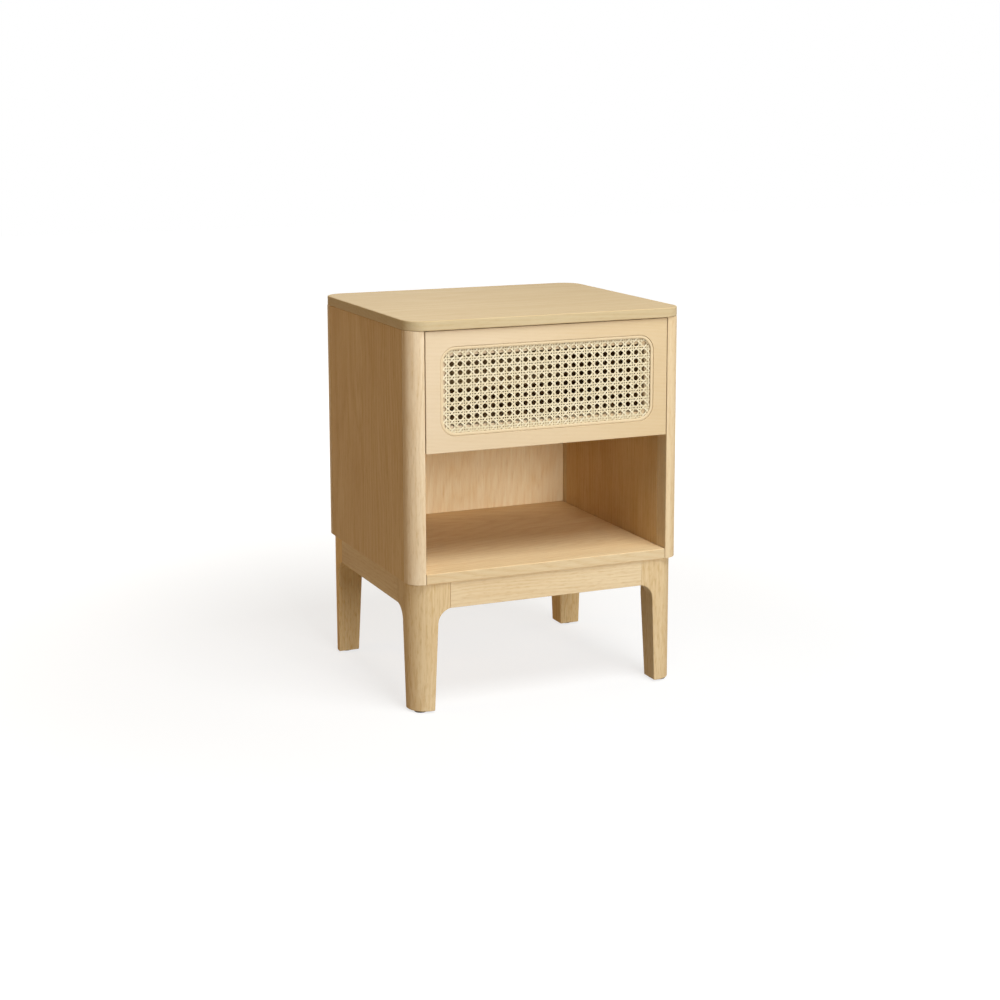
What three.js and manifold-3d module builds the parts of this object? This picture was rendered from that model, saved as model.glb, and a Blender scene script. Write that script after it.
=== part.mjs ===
/**
 * Nightstand: a cane-fronted drawer over an open compartment, in a carcass with round solid-oak
 * corner posts, standing on a separate base frame whose tapered legs flare into its aprons.
 *
 * Units are millimetres. +X is to the right, -Y is the front, +Z is up and the floor is Z = 0.
 */
import * as THREE from 'three';
import { mergeVertices } from 'three/addons/utils/BufferGeometryUtils.js';
import Module from 'manifold-3d';

const wasm = await Module();
wasm.setup();

// ---------------------------------------------------------------- driving dimensions

// Whole piece
const WIDTH = 455; // over the top panel
const DEPTH = 400; // over the top panel
const HEIGHT = 600; // floor to the top face
const CORNER_RADIUS = 25; // plan radius of the posts
const CORNER_FLAT = 5; // least flat left beside a rounded corner
const FIT_GAP = 0.3; // between pieces that seat on each other

// Top panel
const TOP_THICKNESS = 15;
const TOP_RADIUS = 32; // plan radius of the top's corners
const TOP_ARRIS = 1.5; // eased edge of the top
const TOP_SIDE_OVERHANG = 1;
const TOP_FRONT_OVERHANG = 4;
const TOP_BACK_OVERHANG = 2;

// Carcass
const SIDE_THICKNESS = 25;
const POST_DEPTH = 30; // front to back, along the side
const TONGUE_THICKNESS = 8; // side panel's tongue in a post
const TONGUE_LENGTH = 7;
const BOTTOM_THICKNESS = 16;
const DIVIDER_THICKNESS = 15;
const HOUSING_DEPTH = 6; // housings in the sides, for the ends of the bottom and divider
const HOUSING_SETBACK = 12; // from a post to the end of a housing
const BACK_THICKNESS = 5;
const BACK_INSET = 12; // back panel's rear face, in from the carcass's back
const BACK_GROOVE = 6; // depth of the groove that holds the back panel
const RAIL_WIDTH = 60; // rails under the top, laid flat
const RAIL_THICKNESS = 15;
const RAIL_SETBACK = 1; // front rail, behind the drawer front
const BOTTOM_SETBACK = 1; // bottom panel's rear edge, in from the carcass's back

// Base frame
const BASE_HEIGHT = 202; // floor to the carcass
const BASE_INSET = 3; // base frame's faces, in from the carcass
const APRON_HEIGHT = 40;
const APRON_THICKNESS = 22;
const LEG_WIDTH = 42; // each way, under the shoulders
const LEG_RADIUS = 35; // plan radius of its outer corner
const LEG_OUTER_TAPER = 1.8; // lost from an outer face at the foot
const LEG_INNER_TAPER = 5.5; // lost from an inner face at the foot
const SHOULDER_REACH = 62; // leg's outer face to its joint with an apron
const FILLET_RADIUS = 25; // flare between a leg and its shoulder
const FOOT_ARRIS = 1.5;
const BLOCK_REACH = 38; // corner block, past the leg along an apron
const BLOCK_DROP = 8; // corner block's underside, above the aprons' lower edge
const GLIDE_HEIGHT = 3;
const GLIDE_DIAMETER = 20;
const GLIDE_ROUNDING = 1; // lost from the pad's edge by its rounding
const GLIDE_NAIL_DIAMETER = 4;
const GLIDE_NAIL_LENGTH = 12;

// Drawer
const FRONT_HEIGHT = 182.6;
const FRONT_THICKNESS = 20;
const FRONT_GAP = 1.4; // reveal around the drawer front
const FRONT_DROP = 2; // drawer front's lower edge, below the divider's underside
const FRONT_ARRIS = 1;
const FINGER_SPACE = 24; // from the drawer front to the divider's front edge
const PULL_WIDTH = 220; // hollow for the fingers, along the front's lower back edge
const PULL_RADIUS = 11;
const BOX_SIDE_THICKNESS = 12;
const BOX_UNDER_GAP = 6; // drawer box above the divider
const BOX_HEADROOM = 26; // drawer box below the rails
const BOX_REAR_GAP = 27; // drawer box to the back panel
const BOX_BOTTOM_THICKNESS = 5;
const BOX_BOTTOM_RISE = 6; // lower edge of the box to its bottom panel
const BOX_GROOVE = 6;

// Cane panel in the drawer front
const CANE_STILE = 23; // drawer front's side edge to the bead
const CANE_RAIL = 26; // drawer front's top or bottom edge to the bead
const CANE_CORNER = 24; // corner radius outside the bead
const CANE_REBATE = 3.2; // depth from the face to the ledge
const CANE_LEDGE = 14.5; // ledge that the cane lies on
const CANE_THICKNESS = 1.3;
const CANE_PITCH = 13.3; // eye to eye
const CANE_STRAND = 2.3; // one strand of an upright or level pair
const CANE_PAIR_GAP = 1.1; // between the two strands of a pair
const CANE_DIAGONAL = 2.4; // diagonal strand
const CANE_SHIFT = 2.7; // weave's middle, to the right of the panel's
const CANE_LIFT = 1; // and above it
const BEAD_WIDTH = 3;
const BEAD_PROUD = 0.7; // bead above the drawer front's face
const BEAD_ROUNDING = 0.8;

// Telescopic runners
const RUNNER_WIDTH = 12.7; // from the side to the drawer box
const RUNNER_HEIGHT = 45;
const RUNNER_STEEL = 1.2;
const RUNNER_PLAY = 0.4; // running clearance between the nested members
const RUNNER_SETBACK = 5; // runner's ends, in from the drawer box's ends
const RUNNER_LIP = 2.4; // cabinet member's flanges, short of the drawer box

// Screws
const SCREW_DIAMETER = 4.5;
const SCREW_HEAD_DIAMETER = 8;
const SCREW_HEAD_HEIGHT = 2.6;
const SCREW_HEAD_ROUNDING = 1.2; // lost from the head's edge by its rounding
const SCREW_BITE = 9; // depth into the panel that it holds
const SCREW_POINT = 3;
const SCREW_END_INSET = 40; // top screws, in from the ends of a rail

// Facets
const ARC_STEPS = 4; // half the facets of each arc in an outline
const ROUND_STEPS = 12; // facets around a turned piece
const SCREW_STEPS = 8; // facets around a screw or its hole
const OVERSHOOT = 1; // how far a cutting tool runs past the face it opens
const WELD = 1e-4; // vertices closer than this are one

// ---------------------------------------------------------------- lines of the frame

const carcassHalf = WIDTH / 2 - TOP_SIDE_OVERHANG;
const carcassFront = -DEPTH / 2 + TOP_FRONT_OVERHANG;
const carcassBack = DEPTH / 2 - TOP_BACK_OVERHANG;
const carcassTop = HEIGHT - TOP_THICKNESS;
const insideHalf = carcassHalf - SIDE_THICKNESS;
const postRadius = Math.min(CORNER_RADIUS, SIDE_THICKNESS, POST_DEPTH - CORNER_FLAT);

const frontBack = carcassFront + FRONT_THICKNESS; // drawer front's rear face
const frontTop = carcassTop - FRONT_GAP;
const frontBottom = frontTop - FRONT_HEIGHT;
const frontHalf = insideHalf - FRONT_GAP;
const caneCentreZ = (frontTop + frontBottom) / 2;

const floorTop = BASE_HEIGHT + BOTTOM_THICKNESS;
const dividerBottom = frontBottom + FRONT_DROP;
const dividerTop = dividerBottom + DIVIDER_THICKNESS;
const dividerFront = frontBack + FINGER_SPACE;
const backFront = carcassBack - BACK_INSET - BACK_THICKNESS;
const backRear = carcassBack - BACK_INSET;
const railBottom = carcassTop - RAIL_THICKNESS;

const boxHalf = insideHalf - RUNNER_WIDTH - FIT_GAP;
const boxInnerHalf = boxHalf - BOX_SIDE_THICKNESS;
const boxFront = frontBack + FIT_GAP;
const boxBack = backFront - BOX_REAR_GAP;
const boxBottom = dividerTop + BOX_UNDER_GAP;
const boxTop = railBottom - BOX_HEADROOM;
const boxPanelBottom = boxBottom + BOX_BOTTOM_RISE;
const boxPanelTop = boxPanelBottom + BOX_BOTTOM_THICKNESS;

const baseHalf = carcassHalf - BASE_INSET;
const baseFront = carcassFront + BASE_INSET;
const baseBack = carcassBack - BASE_INSET;
const baseTop = BASE_HEIGHT - FIT_GAP;
const apronBottom = baseTop - APRON_HEIGHT;
const legRadius = Math.min(LEG_RADIUS, LEG_WIDTH - CORNER_FLAT);
const filletEnd = Math.min(SHOULDER_REACH, LEG_WIDTH + FILLET_RADIUS);
const filletAngle = Math.acos((filletEnd - LEG_WIDTH - FILLET_RADIUS) / FILLET_RADIUS);
const filletFoot = apronBottom - FILLET_RADIUS * Math.sin(filletAngle);

const SIDES = [['left', -1], ['right', 1]];
const ENDS = [['front', -1], ['rear', 1]];

// ---------------------------------------------------------------- finishes

const oak = (color) => new THREE.MeshStandardMaterial({ color, roughness: 0.55, metalness: 0 });
const FINISH = {
  veneer: oak(0xe1c698),
  solidOak: oak(0xdfc190),
  drawerOak: oak(0xe6cfa5),
  boxWood: oak(0xd8be94),
  cane: new THREE.MeshStandardMaterial({ color: 0xe9dcc0, roughness: 0.6, metalness: 0 }),
  reed: new THREE.MeshStandardMaterial({ color: 0xe7cfa4, roughness: 0.5, metalness: 0 }),
  steel: new THREE.MeshStandardMaterial({ color: 0xb9bcc0, roughness: 0.35, metalness: 1 }),
  plastic: new THREE.MeshStandardMaterial({ color: 0x26211c, roughness: 0.5, metalness: 0 }),
};

// ---------------------------------------------------------------- solids and booleans

/** Drops triangles that have lost their area because two of their corners are one vertex. */
function dropSlivers(index) {
  const kept = [];
  for (let i = 0; i < index.length; i += 3) {
    const [a, b, c] = [index[i], index[i + 1], index[i + 2]];
    if (a !== b && b !== c && c !== a) kept.push(a, b, c);
  }
  return kept;
}

/** A copy of a geometry with positions only, each corner's vertices welded into one. */
function welded(geometry) {
  const bare = geometry.clone();
  bare.deleteAttribute('normal');
  bare.deleteAttribute('uv');
  const merged = mergeVertices(bare, WELD);
  merged.setIndex(dropSlivers(merged.index.array));
  return merged;
}

/** A closed geometry as a solid that can be joined and cut. */
function solidOf(geometry) {
  const shell = welded(geometry);
  const mesh = new wasm.Mesh({
    numProp: 3,
    vertProperties: Float32Array.from(shell.attributes.position.array),
    triVerts: Uint32Array.from(shell.index.array),
  });
  return new wasm.Manifold(mesh);
}

/** A solid as a geometry that can be drawn. */
function geometryOf(solid) {
  const mesh = solid.getMesh();
  const geometry = new THREE.BufferGeometry();
  geometry.setAttribute('position', new THREE.BufferAttribute(mesh.vertProperties, 3));
  geometry.setIndex(new THREE.BufferAttribute(mesh.triVerts, 1));
  geometry.computeVertexNormals();
  return geometry;
}

/** The first geometry with all the others taken out of it. */
function cut(stock, ...tools) {
  return geometryOf(tools.reduce((solid, tool) => solid.subtract(solidOf(tool)), solidOf(stock)));
}

/** Several overlapping geometries as one. */
function join(first, ...others) {
  return geometryOf(others.reduce((solid, other) => solid.add(solidOf(other)), solidOf(first)));
}

/** A geometry reflected in X, Y or both (a sign of -1 reflects), with its faces still outward. */
function reflected(geometry, signX, signY) {
  const copy = welded(geometry);
  copy.scale(signX, signY, 1);
  if (signX * signY < 0) copy.setIndex(Array.from(copy.index.array).reverse());
  copy.computeVertexNormals();
  return copy;
}

// ---------------------------------------------------------------- outlines and basic forms

/** A closed outline through the given [u, v] corners. */
function polygon(corners) {
  return new THREE.Shape(corners.map(([u, v]) => new THREE.Vector2(u, v)));
}

/** A rectangle with four rounded corners, about the given centre. */
function roundedRectangle(width, height, radius, centreU = 0, centreV = 0) {
  const outline = new THREE.Shape();
  const u = width / 2 - radius;
  const v = height / 2 - radius;
  const corners = [[u, v], [-u, v], [-u, -v], [u, -v]];
  corners.forEach(([cornerU, cornerV], turn) => {
    const start = (turn * Math.PI) / 2;
    outline.absarc(centreU + cornerU, centreV + cornerV, radius, start, start + Math.PI / 2, false);
  });
  outline.closePath();
  return outline;
}

/** A square-cornered rectangle between two opposite corners. */
function rectangle(u0, v0, u1, v1) {
  return polygon([[u0, v0], [u1, v0], [u1, v1], [u0, v1]]);
}

/** A rectangle from the origin, with the corner at the origin rounded. */
function cornerOutline(width, depth, radius) {
  const outline = new THREE.Shape();
  outline.absarc(radius, radius, radius, Math.PI, 1.5 * Math.PI, false);
  if (width - radius > WELD) outline.lineTo(width, 0);
  outline.lineTo(width, depth);
  outline.lineTo(0, depth);
  outline.closePath();
  return outline;
}

const UNIT_X = new THREE.Vector3(1, 0, 0);
const UNIT_Y = new THREE.Vector3(0, 1, 0);
const UNIT_Z = new THREE.Vector3(0, 0, 1);

/** Places an extrusion so that it runs between two stations along X, Y or Z. */
function placement(axis, from, to) {
  const matrix = new THREE.Matrix4();
  if (axis === 'x') return matrix.makeBasis(UNIT_Y, UNIT_Z, UNIT_X).setPosition(from, 0, 0);
  if (axis === 'y') return matrix.makeBasis(UNIT_X, UNIT_Z, UNIT_Y.clone().negate()).setPosition(0, to, 0);
  return matrix.setPosition(0, 0, from);
}

/**
 * An outline extruded between two stations along an axis. An outline across X is in (Y, Z), one
 * across Y is in (X, Z) and one across Z is in (X, Y). The arris eases the edges of both end faces.
 */
function prism(outline, axis, from, to, arris = 0, arrisSteps = 1) {
  const geometry = new THREE.ExtrudeGeometry(outline, {
    depth: to - from - 2 * arris,
    curveSegments: ARC_STEPS,
    bevelEnabled: arris > 0,
    bevelThickness: arris,
    bevelSize: arris,
    bevelOffset: -arris,
    bevelSegments: arrisSteps,
  });
  geometry.translate(0, 0, arris);
  return geometry.applyMatrix4(placement(axis, from, to));
}

/** A plain rectangular block between two opposite corners. */
function block([x0, y0, z0], [x1, y1, z1]) {
  const geometry = new THREE.BoxGeometry(x1 - x0, y1 - y0, z1 - z0);
  return geometry.translate((x0 + x1) / 2, (y0 + y1) / 2, (z0 + z1) / 2);
}

/** An upright round peg, used as a drill. */
function peg(x, y, z0, z1, diameter, steps = SCREW_STEPS) {
  const geometry = new THREE.CylinderGeometry(diameter / 2, diameter / 2, z1 - z0, steps);
  return geometry.rotateX(Math.PI / 2).translate(x, y, (z0 + z1) / 2);
}

/** A piece turned about Z from a profile of [radius, height] points, listed from low to high. */
function turned(profile, steps) {
  const points = profile.map(([radius, height]) => new THREE.Vector2(radius, height));
  return new THREE.LatheGeometry(points, steps).rotateX(Math.PI / 2);
}

/** A named mesh. */
function piece(name, geometry, finish) {
  const mesh = new THREE.Mesh(geometry, finish.clone());
  mesh.name = name;
  return mesh;
}

// ---------------------------------------------------------------- screws

const screwHole = SCREW_DIAMETER + 2 * FIT_GAP;

/** The top screws' distance from the middle, and the front-to-back middle of each rail. */
function topScrewPlaces() {
  const x = insideHalf - SCREW_END_INSET;
  const frontRailY = frontBack + RAIL_SETBACK + RAIL_WIDTH / 2;
  const rearRailY = backFront - FIT_GAP - RAIL_WIDTH / 2;
  return { x, frontRailY, rearRailY };
}

/** A pan-head screw that points up, its head seated under z = 0 and its tip at the given height. */
function screwGeometry(length) {
  const shank = SCREW_DIAMETER / 2;
  const head = SCREW_HEAD_DIAMETER / 2;
  const seat = -FIT_GAP;
  const profile = [
    [0, seat - SCREW_HEAD_HEIGHT],
    [head - SCREW_HEAD_ROUNDING, seat - SCREW_HEAD_HEIGHT],
    [head, seat - SCREW_HEAD_HEIGHT + SCREW_HEAD_ROUNDING],
    [head, seat],
    [shank, seat],
    [shank, length - SCREW_POINT],
    [0, length],
  ];
  return turned(profile, SCREW_STEPS);
}

// ---------------------------------------------------------------- carcass

/** Top panel with rounded corners and eased edges, drilled from below for its four screws. */
function topPanel() {
  const outline = roundedRectangle(WIDTH, DEPTH, TOP_RADIUS);
  const panel = prism(outline, 'z', carcassTop, HEIGHT, TOP_ARRIS);
  const { x, frontRailY, rearRailY } = topScrewPlaces();
  const drills = [];
  for (const [, sideSign] of SIDES) {
    for (const y of [frontRailY, rearRailY]) {
      const depth = carcassTop + SCREW_BITE + FIT_GAP;
      drills.push(peg(sideSign * x, y, carcassTop - OVERSHOOT, depth, screwHole));
    }
  }
  return piece('top_panel', cut(panel, ...drills), FINISH.veneer);
}

/** Solid corner post, its outer corner at the origin, grooved for the side panel's tongue. */
function postGeometry(hasBackGroove) {
  const outline = cornerOutline(SIDE_THICKNESS, POST_DEPTH, postRadius);
  const post = prism(outline, 'z', BASE_HEIGHT, carcassTop - FIT_GAP);
  const middle = SIDE_THICKNESS / 2;
  const halfGroove = TONGUE_THICKNESS / 2 + FIT_GAP;
  const low = BASE_HEIGHT - OVERSHOOT;
  const tongueGroove = block(
    [middle - halfGroove, POST_DEPTH - TONGUE_LENGTH - FIT_GAP, low],
    [middle + halfGroove, POST_DEPTH + OVERSHOOT, carcassTop],
  );
  if (!hasBackGroove) return cut(post, tongueGroove);
  const backGroove = block(
    [SIDE_THICKNESS - BACK_GROOVE - FIT_GAP, BACK_INSET - FIT_GAP, low],
    [SIDE_THICKNESS + OVERSHOOT, BACK_INSET + BACK_THICKNESS + FIT_GAP, carcassTop],
  );
  return cut(post, tongueGroove, backGroove);
}

/** The four corner posts. */
function cornerPosts() {
  return ENDS.flatMap(([end, endSign]) => {
    const geometry = postGeometry(end === 'rear');
    return SIDES.map(([side, sideSign]) => {
      const mesh = piece(`${side}_${end}_post`, reflected(geometry, -sideSign, -endSign), FINISH.solidOak);
      mesh.position.set(sideSign * carcassHalf, end === 'rear' ? carcassBack : carcassFront, 0);
      return mesh;
    });
  });
}

/** Where a housed board's ends run, front to back, between the posts. */
const housingFront = carcassFront + POST_DEPTH + HOUSING_SETBACK;
const housingBack = carcassBack - POST_DEPTH - HOUSING_SETBACK;

/** A housing in the left side panel's inner face for a board between two heights. */
function housing(from, to, boardFront) {
  return block(
    [-insideHalf - HOUSING_DEPTH - FIT_GAP, Math.max(boardFront, housingFront) - FIT_GAP, from],
    [-insideHalf + OVERSHOOT, housingBack + FIT_GAP, to],
  );
}

/** Left side panel: tongues into both posts, and housings for the bottom and the divider. */
function leftSideGeometry() {
  const front = carcassFront + POST_DEPTH + FIT_GAP;
  const back = carcassBack - POST_DEPTH - FIT_GAP;
  const tongueFront = front - TONGUE_LENGTH;
  const tongueBack = back + TONGUE_LENGTH;
  const middle = -carcassHalf + SIDE_THICKNESS / 2;
  const tongueOut = middle - TONGUE_THICKNESS / 2;
  const tongueIn = middle + TONGUE_THICKNESS / 2;
  const outline = polygon([
    [-carcassHalf, front], [tongueOut, front], [tongueOut, tongueFront], [tongueIn, tongueFront],
    [tongueIn, front], [-insideHalf, front], [-insideHalf, back], [tongueIn, back],
    [tongueIn, tongueBack], [tongueOut, tongueBack], [tongueOut, back], [-carcassHalf, back],
  ]);
  const board = prism(outline, 'z', BASE_HEIGHT, carcassTop - FIT_GAP);
  const bottomHousing = housing(BASE_HEIGHT - OVERSHOOT, floorTop + FIT_GAP, carcassFront);
  const dividerHousing = housing(dividerBottom - FIT_GAP, dividerTop + FIT_GAP, dividerFront);
  return cut(board, bottomHousing, dividerHousing);
}

/** Both side panels. */
function sidePanels() {
  const left = leftSideGeometry();
  return SIDES.map(([side, sign]) => piece(`${side}_side_panel`, reflected(left, -sign, 1), FINISH.veneer));
}

/** Plan of a board whose ends are housed in the sides, stopped clear of the posts. */
function housedOutline(front, back) {
  const half = insideHalf - FIT_GAP;
  const end = half + HOUSING_DEPTH;
  const earFront = Math.max(front, housingFront);
  const start = earFront > front ? [[-half, front], [half, front], [half, earFront]] : [];
  const finish = earFront > front ? [[-half, earFront]] : [];
  return polygon([
    ...start, [end, earFront], [end, housingBack], [half, housingBack], [half, back],
    [-half, back], [-half, housingBack], [-end, housingBack], [-end, earFront], ...finish,
  ]);
}

// Corner block, measured from the base's outer faces: the notch around the leg, the face against
// an apron, the end along it, and the screw.
const blockInner = LEG_WIDTH + FIT_GAP;
const blockFace = APRON_THICKNESS + FIT_GAP;
const blockEnd = blockInner + BLOCK_REACH;
const blockScrew = (blockInner + (blockEnd + blockFace) / 2) / 2;

/** Bottom panel: the open compartment's floor, grooved for the back and drilled for the base. */
function bottomPanel() {
  const outline = housedOutline(carcassFront, carcassBack - BOTTOM_SETBACK);
  const board = prism(outline, 'z', BASE_HEIGHT, floorTop);
  const backGroove = block(
    [-insideHalf - OVERSHOOT, backFront - FIT_GAP, floorTop - BACK_GROOVE - FIT_GAP],
    [insideHalf + OVERSHOOT, backRear + FIT_GAP, floorTop + OVERSHOOT],
  );
  const drills = [];
  for (const x of [-baseHalf + blockScrew, baseHalf - blockScrew]) {
    for (const y of [baseFront + blockScrew, baseBack - blockScrew]) {
      drills.push(peg(x, y, BASE_HEIGHT - OVERSHOOT, BASE_HEIGHT + SCREW_BITE + FIT_GAP, screwHole));
    }
  }
  return piece('bottom_panel', cut(board, backGroove, ...drills), FINISH.veneer);
}

/** Divider: the compartment's ceiling and the drawer bay's floor. */
function dividerPanel() {
  const outline = housedOutline(dividerFront, backFront - FIT_GAP);
  return piece('divider_panel', prism(outline, 'z', dividerBottom, dividerTop), FINISH.veneer);
}

/** Back panel, held in grooves of the rear posts and the bottom. */
function backPanel() {
  const half = insideHalf + BACK_GROOVE;
  const low = floorTop - BACK_GROOVE;
  const panel = block([-half, backFront, low], [half, backRear, carcassTop - FIT_GAP]);
  return piece('back_panel', panel, FINISH.veneer);
}

/** The rails that tie the sides together under the top, with a clearance hole at each end. */
function topRails() {
  const { x, frontRailY, rearRailY } = topScrewPlaces();
  const half = insideHalf - FIT_GAP;
  return [['front', frontRailY], ['rear', rearRailY]].map(([end, y]) => {
    const low = [-half, y - RAIL_WIDTH / 2, railBottom];
    const high = [half, y + RAIL_WIDTH / 2, carcassTop - FIT_GAP];
    const drills = [-x, x].map((at) => peg(at, y, railBottom - OVERSHOOT, carcassTop, screwHole));
    return piece(`top_${end}_rail`, cut(block(low, high), ...drills), FINISH.boxWood);
  });
}

/** The screws that hold the top down on the rails. */
function topScrews() {
  const { x, frontRailY, rearRailY } = topScrewPlaces();
  const geometry = screwGeometry(carcassTop + SCREW_BITE - railBottom);
  return [['front', frontRailY], ['rear', rearRailY]].flatMap(([end, y]) => SIDES.map(([side, sign]) => {
    const screw = piece(`${side}_${end}_top_screw`, geometry.clone(), FINISH.steel);
    screw.position.set(sign * x, y, railBottom);
    return screw;
  }));
}

// ---------------------------------------------------------------- base frame

/** How far down the taper a height is: 0 above the fillet, 1 at the foot. */
function taperShare(z) {
  return Math.max(0, (filletFoot - z) / (filletFoot - GLIDE_HEIGHT));
}

/** A plan coordinate measured in from the outer face, moved by the leg's taper at a height. */
function taperedAt(inward, z) {
  const across = inward / LEG_WIDTH;
  return inward + taperShare(z) * (LEG_OUTER_TAPER * (1 - across) - LEG_INNER_TAPER * across);
}

/** Narrows a leg towards its foot, more on the inner faces than on the outer ones. */
function tapered(geometry) {
  const position = geometry.attributes.position;
  for (let i = 0; i < position.count; i += 1) {
    const z = position.getZ(i);
    position.setXY(i, taperedAt(position.getX(i), z), taperedAt(position.getY(i), z));
  }
  return geometry;
}

/** Elevation of a shoulder: the leg's head flares through a fillet out to the apron's depth. */
function shoulderOutline() {
  const outline = new THREE.Shape();
  const insideLeg = (legRadius + LEG_WIDTH) / 2;
  outline.moveTo(insideLeg, baseTop);
  outline.lineTo(insideLeg, filletFoot);
  outline.lineTo(LEG_WIDTH, filletFoot);
  const centre = LEG_WIDTH + FILLET_RADIUS;
  outline.absarc(centre, filletFoot, FILLET_RADIUS, Math.PI, filletAngle, true);
  if (SHOULDER_REACH - filletEnd > WELD) outline.lineTo(SHOULDER_REACH, apronBottom);
  outline.lineTo(SHOULDER_REACH, baseTop);
  outline.closePath();
  return outline;
}

/** Middle of the foot, from either outer face of the base. */
const footMiddle = (taperedAt(0, GLIDE_HEIGHT) + taperedAt(LEG_WIDTH, GLIDE_HEIGHT)) / 2;

/** A leg with its outer corner at the origin: round-cornered, tapered, with a shoulder each way. */
function legGeometry() {
  const plan = cornerOutline(LEG_WIDTH, LEG_WIDTH, legRadius);
  const shank = tapered(prism(plan, 'z', GLIDE_HEIGHT, filletFoot + FOOT_ARRIS, FOOT_ARRIS));
  const head = prism(plan, 'z', filletFoot, baseTop);
  const alongX = prism(shoulderOutline(), 'y', 0, APRON_THICKNESS);
  const alongY = prism(shoulderOutline(), 'x', 0, APRON_THICKNESS);
  const leg = join(shank, head, alongX, alongY);
  const nailDepth = GLIDE_HEIGHT + GLIDE_NAIL_LENGTH + FIT_GAP;
  const nailHole = GLIDE_NAIL_DIAMETER + 2 * FIT_GAP;
  return cut(leg, peg(footMiddle, footMiddle, 0, nailDepth, nailHole, ROUND_STEPS));
}

/** Corner block behind a leg: notched around it, with its long face across the corner. */
function cornerBlockGeometry() {
  const outline = polygon([
    [blockEnd, blockFace], [blockFace, blockEnd], [blockFace, blockInner],
    [blockInner, blockInner], [blockInner, blockFace],
  ]);
  const blockBottom = apronBottom + BLOCK_DROP;
  const wedge = prism(outline, 'z', blockBottom, baseTop);
  return cut(wedge, peg(blockScrew, blockScrew, blockBottom - OVERSHOOT, BASE_HEIGHT, screwHole));
}

/** A nail-on glide: a turned pad under the foot, with its nail up into the leg. */
function glideGeometry() {
  const pad = GLIDE_DIAMETER / 2;
  const nail = GLIDE_NAIL_DIAMETER / 2;
  const padTop = GLIDE_HEIGHT - FIT_GAP;
  const profile = [
    [0, 0], [pad - GLIDE_ROUNDING, 0], [pad, GLIDE_ROUNDING], [pad, padTop], [nail, padTop],
    [nail, GLIDE_HEIGHT + GLIDE_NAIL_LENGTH - nail], [0, GLIDE_HEIGHT + GLIDE_NAIL_LENGTH],
  ];
  return turned(profile, ROUND_STEPS).translate(footMiddle, footMiddle, 0);
}

/** What stands at each corner of the base: leg, corner block, its screw and the glide. */
function baseCorners() {
  const blockBottom = apronBottom + BLOCK_DROP;
  const screw = screwGeometry(BASE_HEIGHT + SCREW_BITE - blockBottom);
  screw.translate(blockScrew, blockScrew, blockBottom);
  const kinds = [
    ['leg', legGeometry(), FINISH.solidOak],
    ['corner_block', cornerBlockGeometry(), FINISH.boxWood],
    ['base_screw', screw, FINISH.steel],
    ['foot_glide', glideGeometry(), FINISH.plastic],
  ];
  const corners = [];
  for (const [end, endSign] of ENDS) {
    for (const [side, sideSign] of SIDES) {
      const corner = new THREE.Group();
      corner.position.set(sideSign * baseHalf, end === 'rear' ? baseBack : baseFront, 0);
      for (const [kind, geometry, finish] of kinds) {
        corner.add(piece(`${side}_${end}_${kind}`, reflected(geometry, -sideSign, -endSign), finish));
      }
      corners.push(corner);
    }
  }
  return corners;
}

/** The four aprons between the legs' shoulders. */
function aprons() {
  const halfX = baseHalf - SHOULDER_REACH - FIT_GAP;
  const front = baseFront + SHOULDER_REACH + FIT_GAP;
  const back = baseBack - SHOULDER_REACH - FIT_GAP;
  const boards = {
    front_apron: [[-halfX, baseFront, apronBottom], [halfX, baseFront + APRON_THICKNESS, baseTop]],
    rear_apron: [[-halfX, baseBack - APRON_THICKNESS, apronBottom], [halfX, baseBack, baseTop]],
    left_apron: [[-baseHalf, front, apronBottom], [-baseHalf + APRON_THICKNESS, back, baseTop]],
    right_apron: [[baseHalf - APRON_THICKNESS, front, apronBottom], [baseHalf, back, baseTop]],
  };
  return Object.entries(boards).map(([name, [low, high]]) => piece(name, block(low, high), FINISH.solidOak));
}

// ---------------------------------------------------------------- cane panel

/** Sizes of the cane panel's outlines, inset by the given amount from the bead's recess. */
function caneFrame(inset) {
  return {
    width: 2 * (frontHalf - CANE_STILE - inset),
    height: FRONT_HEIGHT - 2 * CANE_RAIL - 2 * inset,
    radius: CANE_CORNER - inset,
  };
}

/** That outline, centred in the drawer front's elevation. */
function caneOutline(inset) {
  const { width, height, radius } = caneFrame(inset);
  return roundedRectangle(width, height, radius, 0, caneCentreZ);
}

/** Whether a point, from the panel's centre, is at least `margin` inside the bead. */
function insideBead(x, z, margin) {
  const { width, height, radius } = caneFrame(BEAD_WIDTH + FIT_GAP);
  const overX = Math.abs(x) - (width / 2 - radius);
  const overZ = Math.abs(z) - (height / 2 - radius);
  if (overX < 0 || overZ < 0) return Math.max(overX, overZ) < radius - margin;
  return Math.hypot(overX, overZ) < radius - margin;
}

// An eye is what a square between the strand pairs keeps when four diagonals cross its corners.
const eyeHalf = (CANE_PITCH - 2 * CANE_STRAND - CANE_PAIR_GAP) / 2;
const eyeDiagonal = CANE_PITCH / (2 * Math.SQRT2) - CANE_DIAGONAL / 2;
const eyeFlat = eyeDiagonal * Math.SQRT2 - eyeHalf;

/** One eight-sided eye of the weave. */
function eye(x, z) {
  const octagon = [
    [eyeHalf, eyeFlat], [eyeFlat, eyeHalf], [-eyeFlat, eyeHalf], [-eyeHalf, eyeFlat],
    [-eyeHalf, -eyeFlat], [-eyeFlat, -eyeHalf], [eyeFlat, -eyeHalf], [eyeHalf, -eyeFlat],
  ];
  return polygon(octagon.map(([u, v]) => [x + u, z + v]));
}

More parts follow.
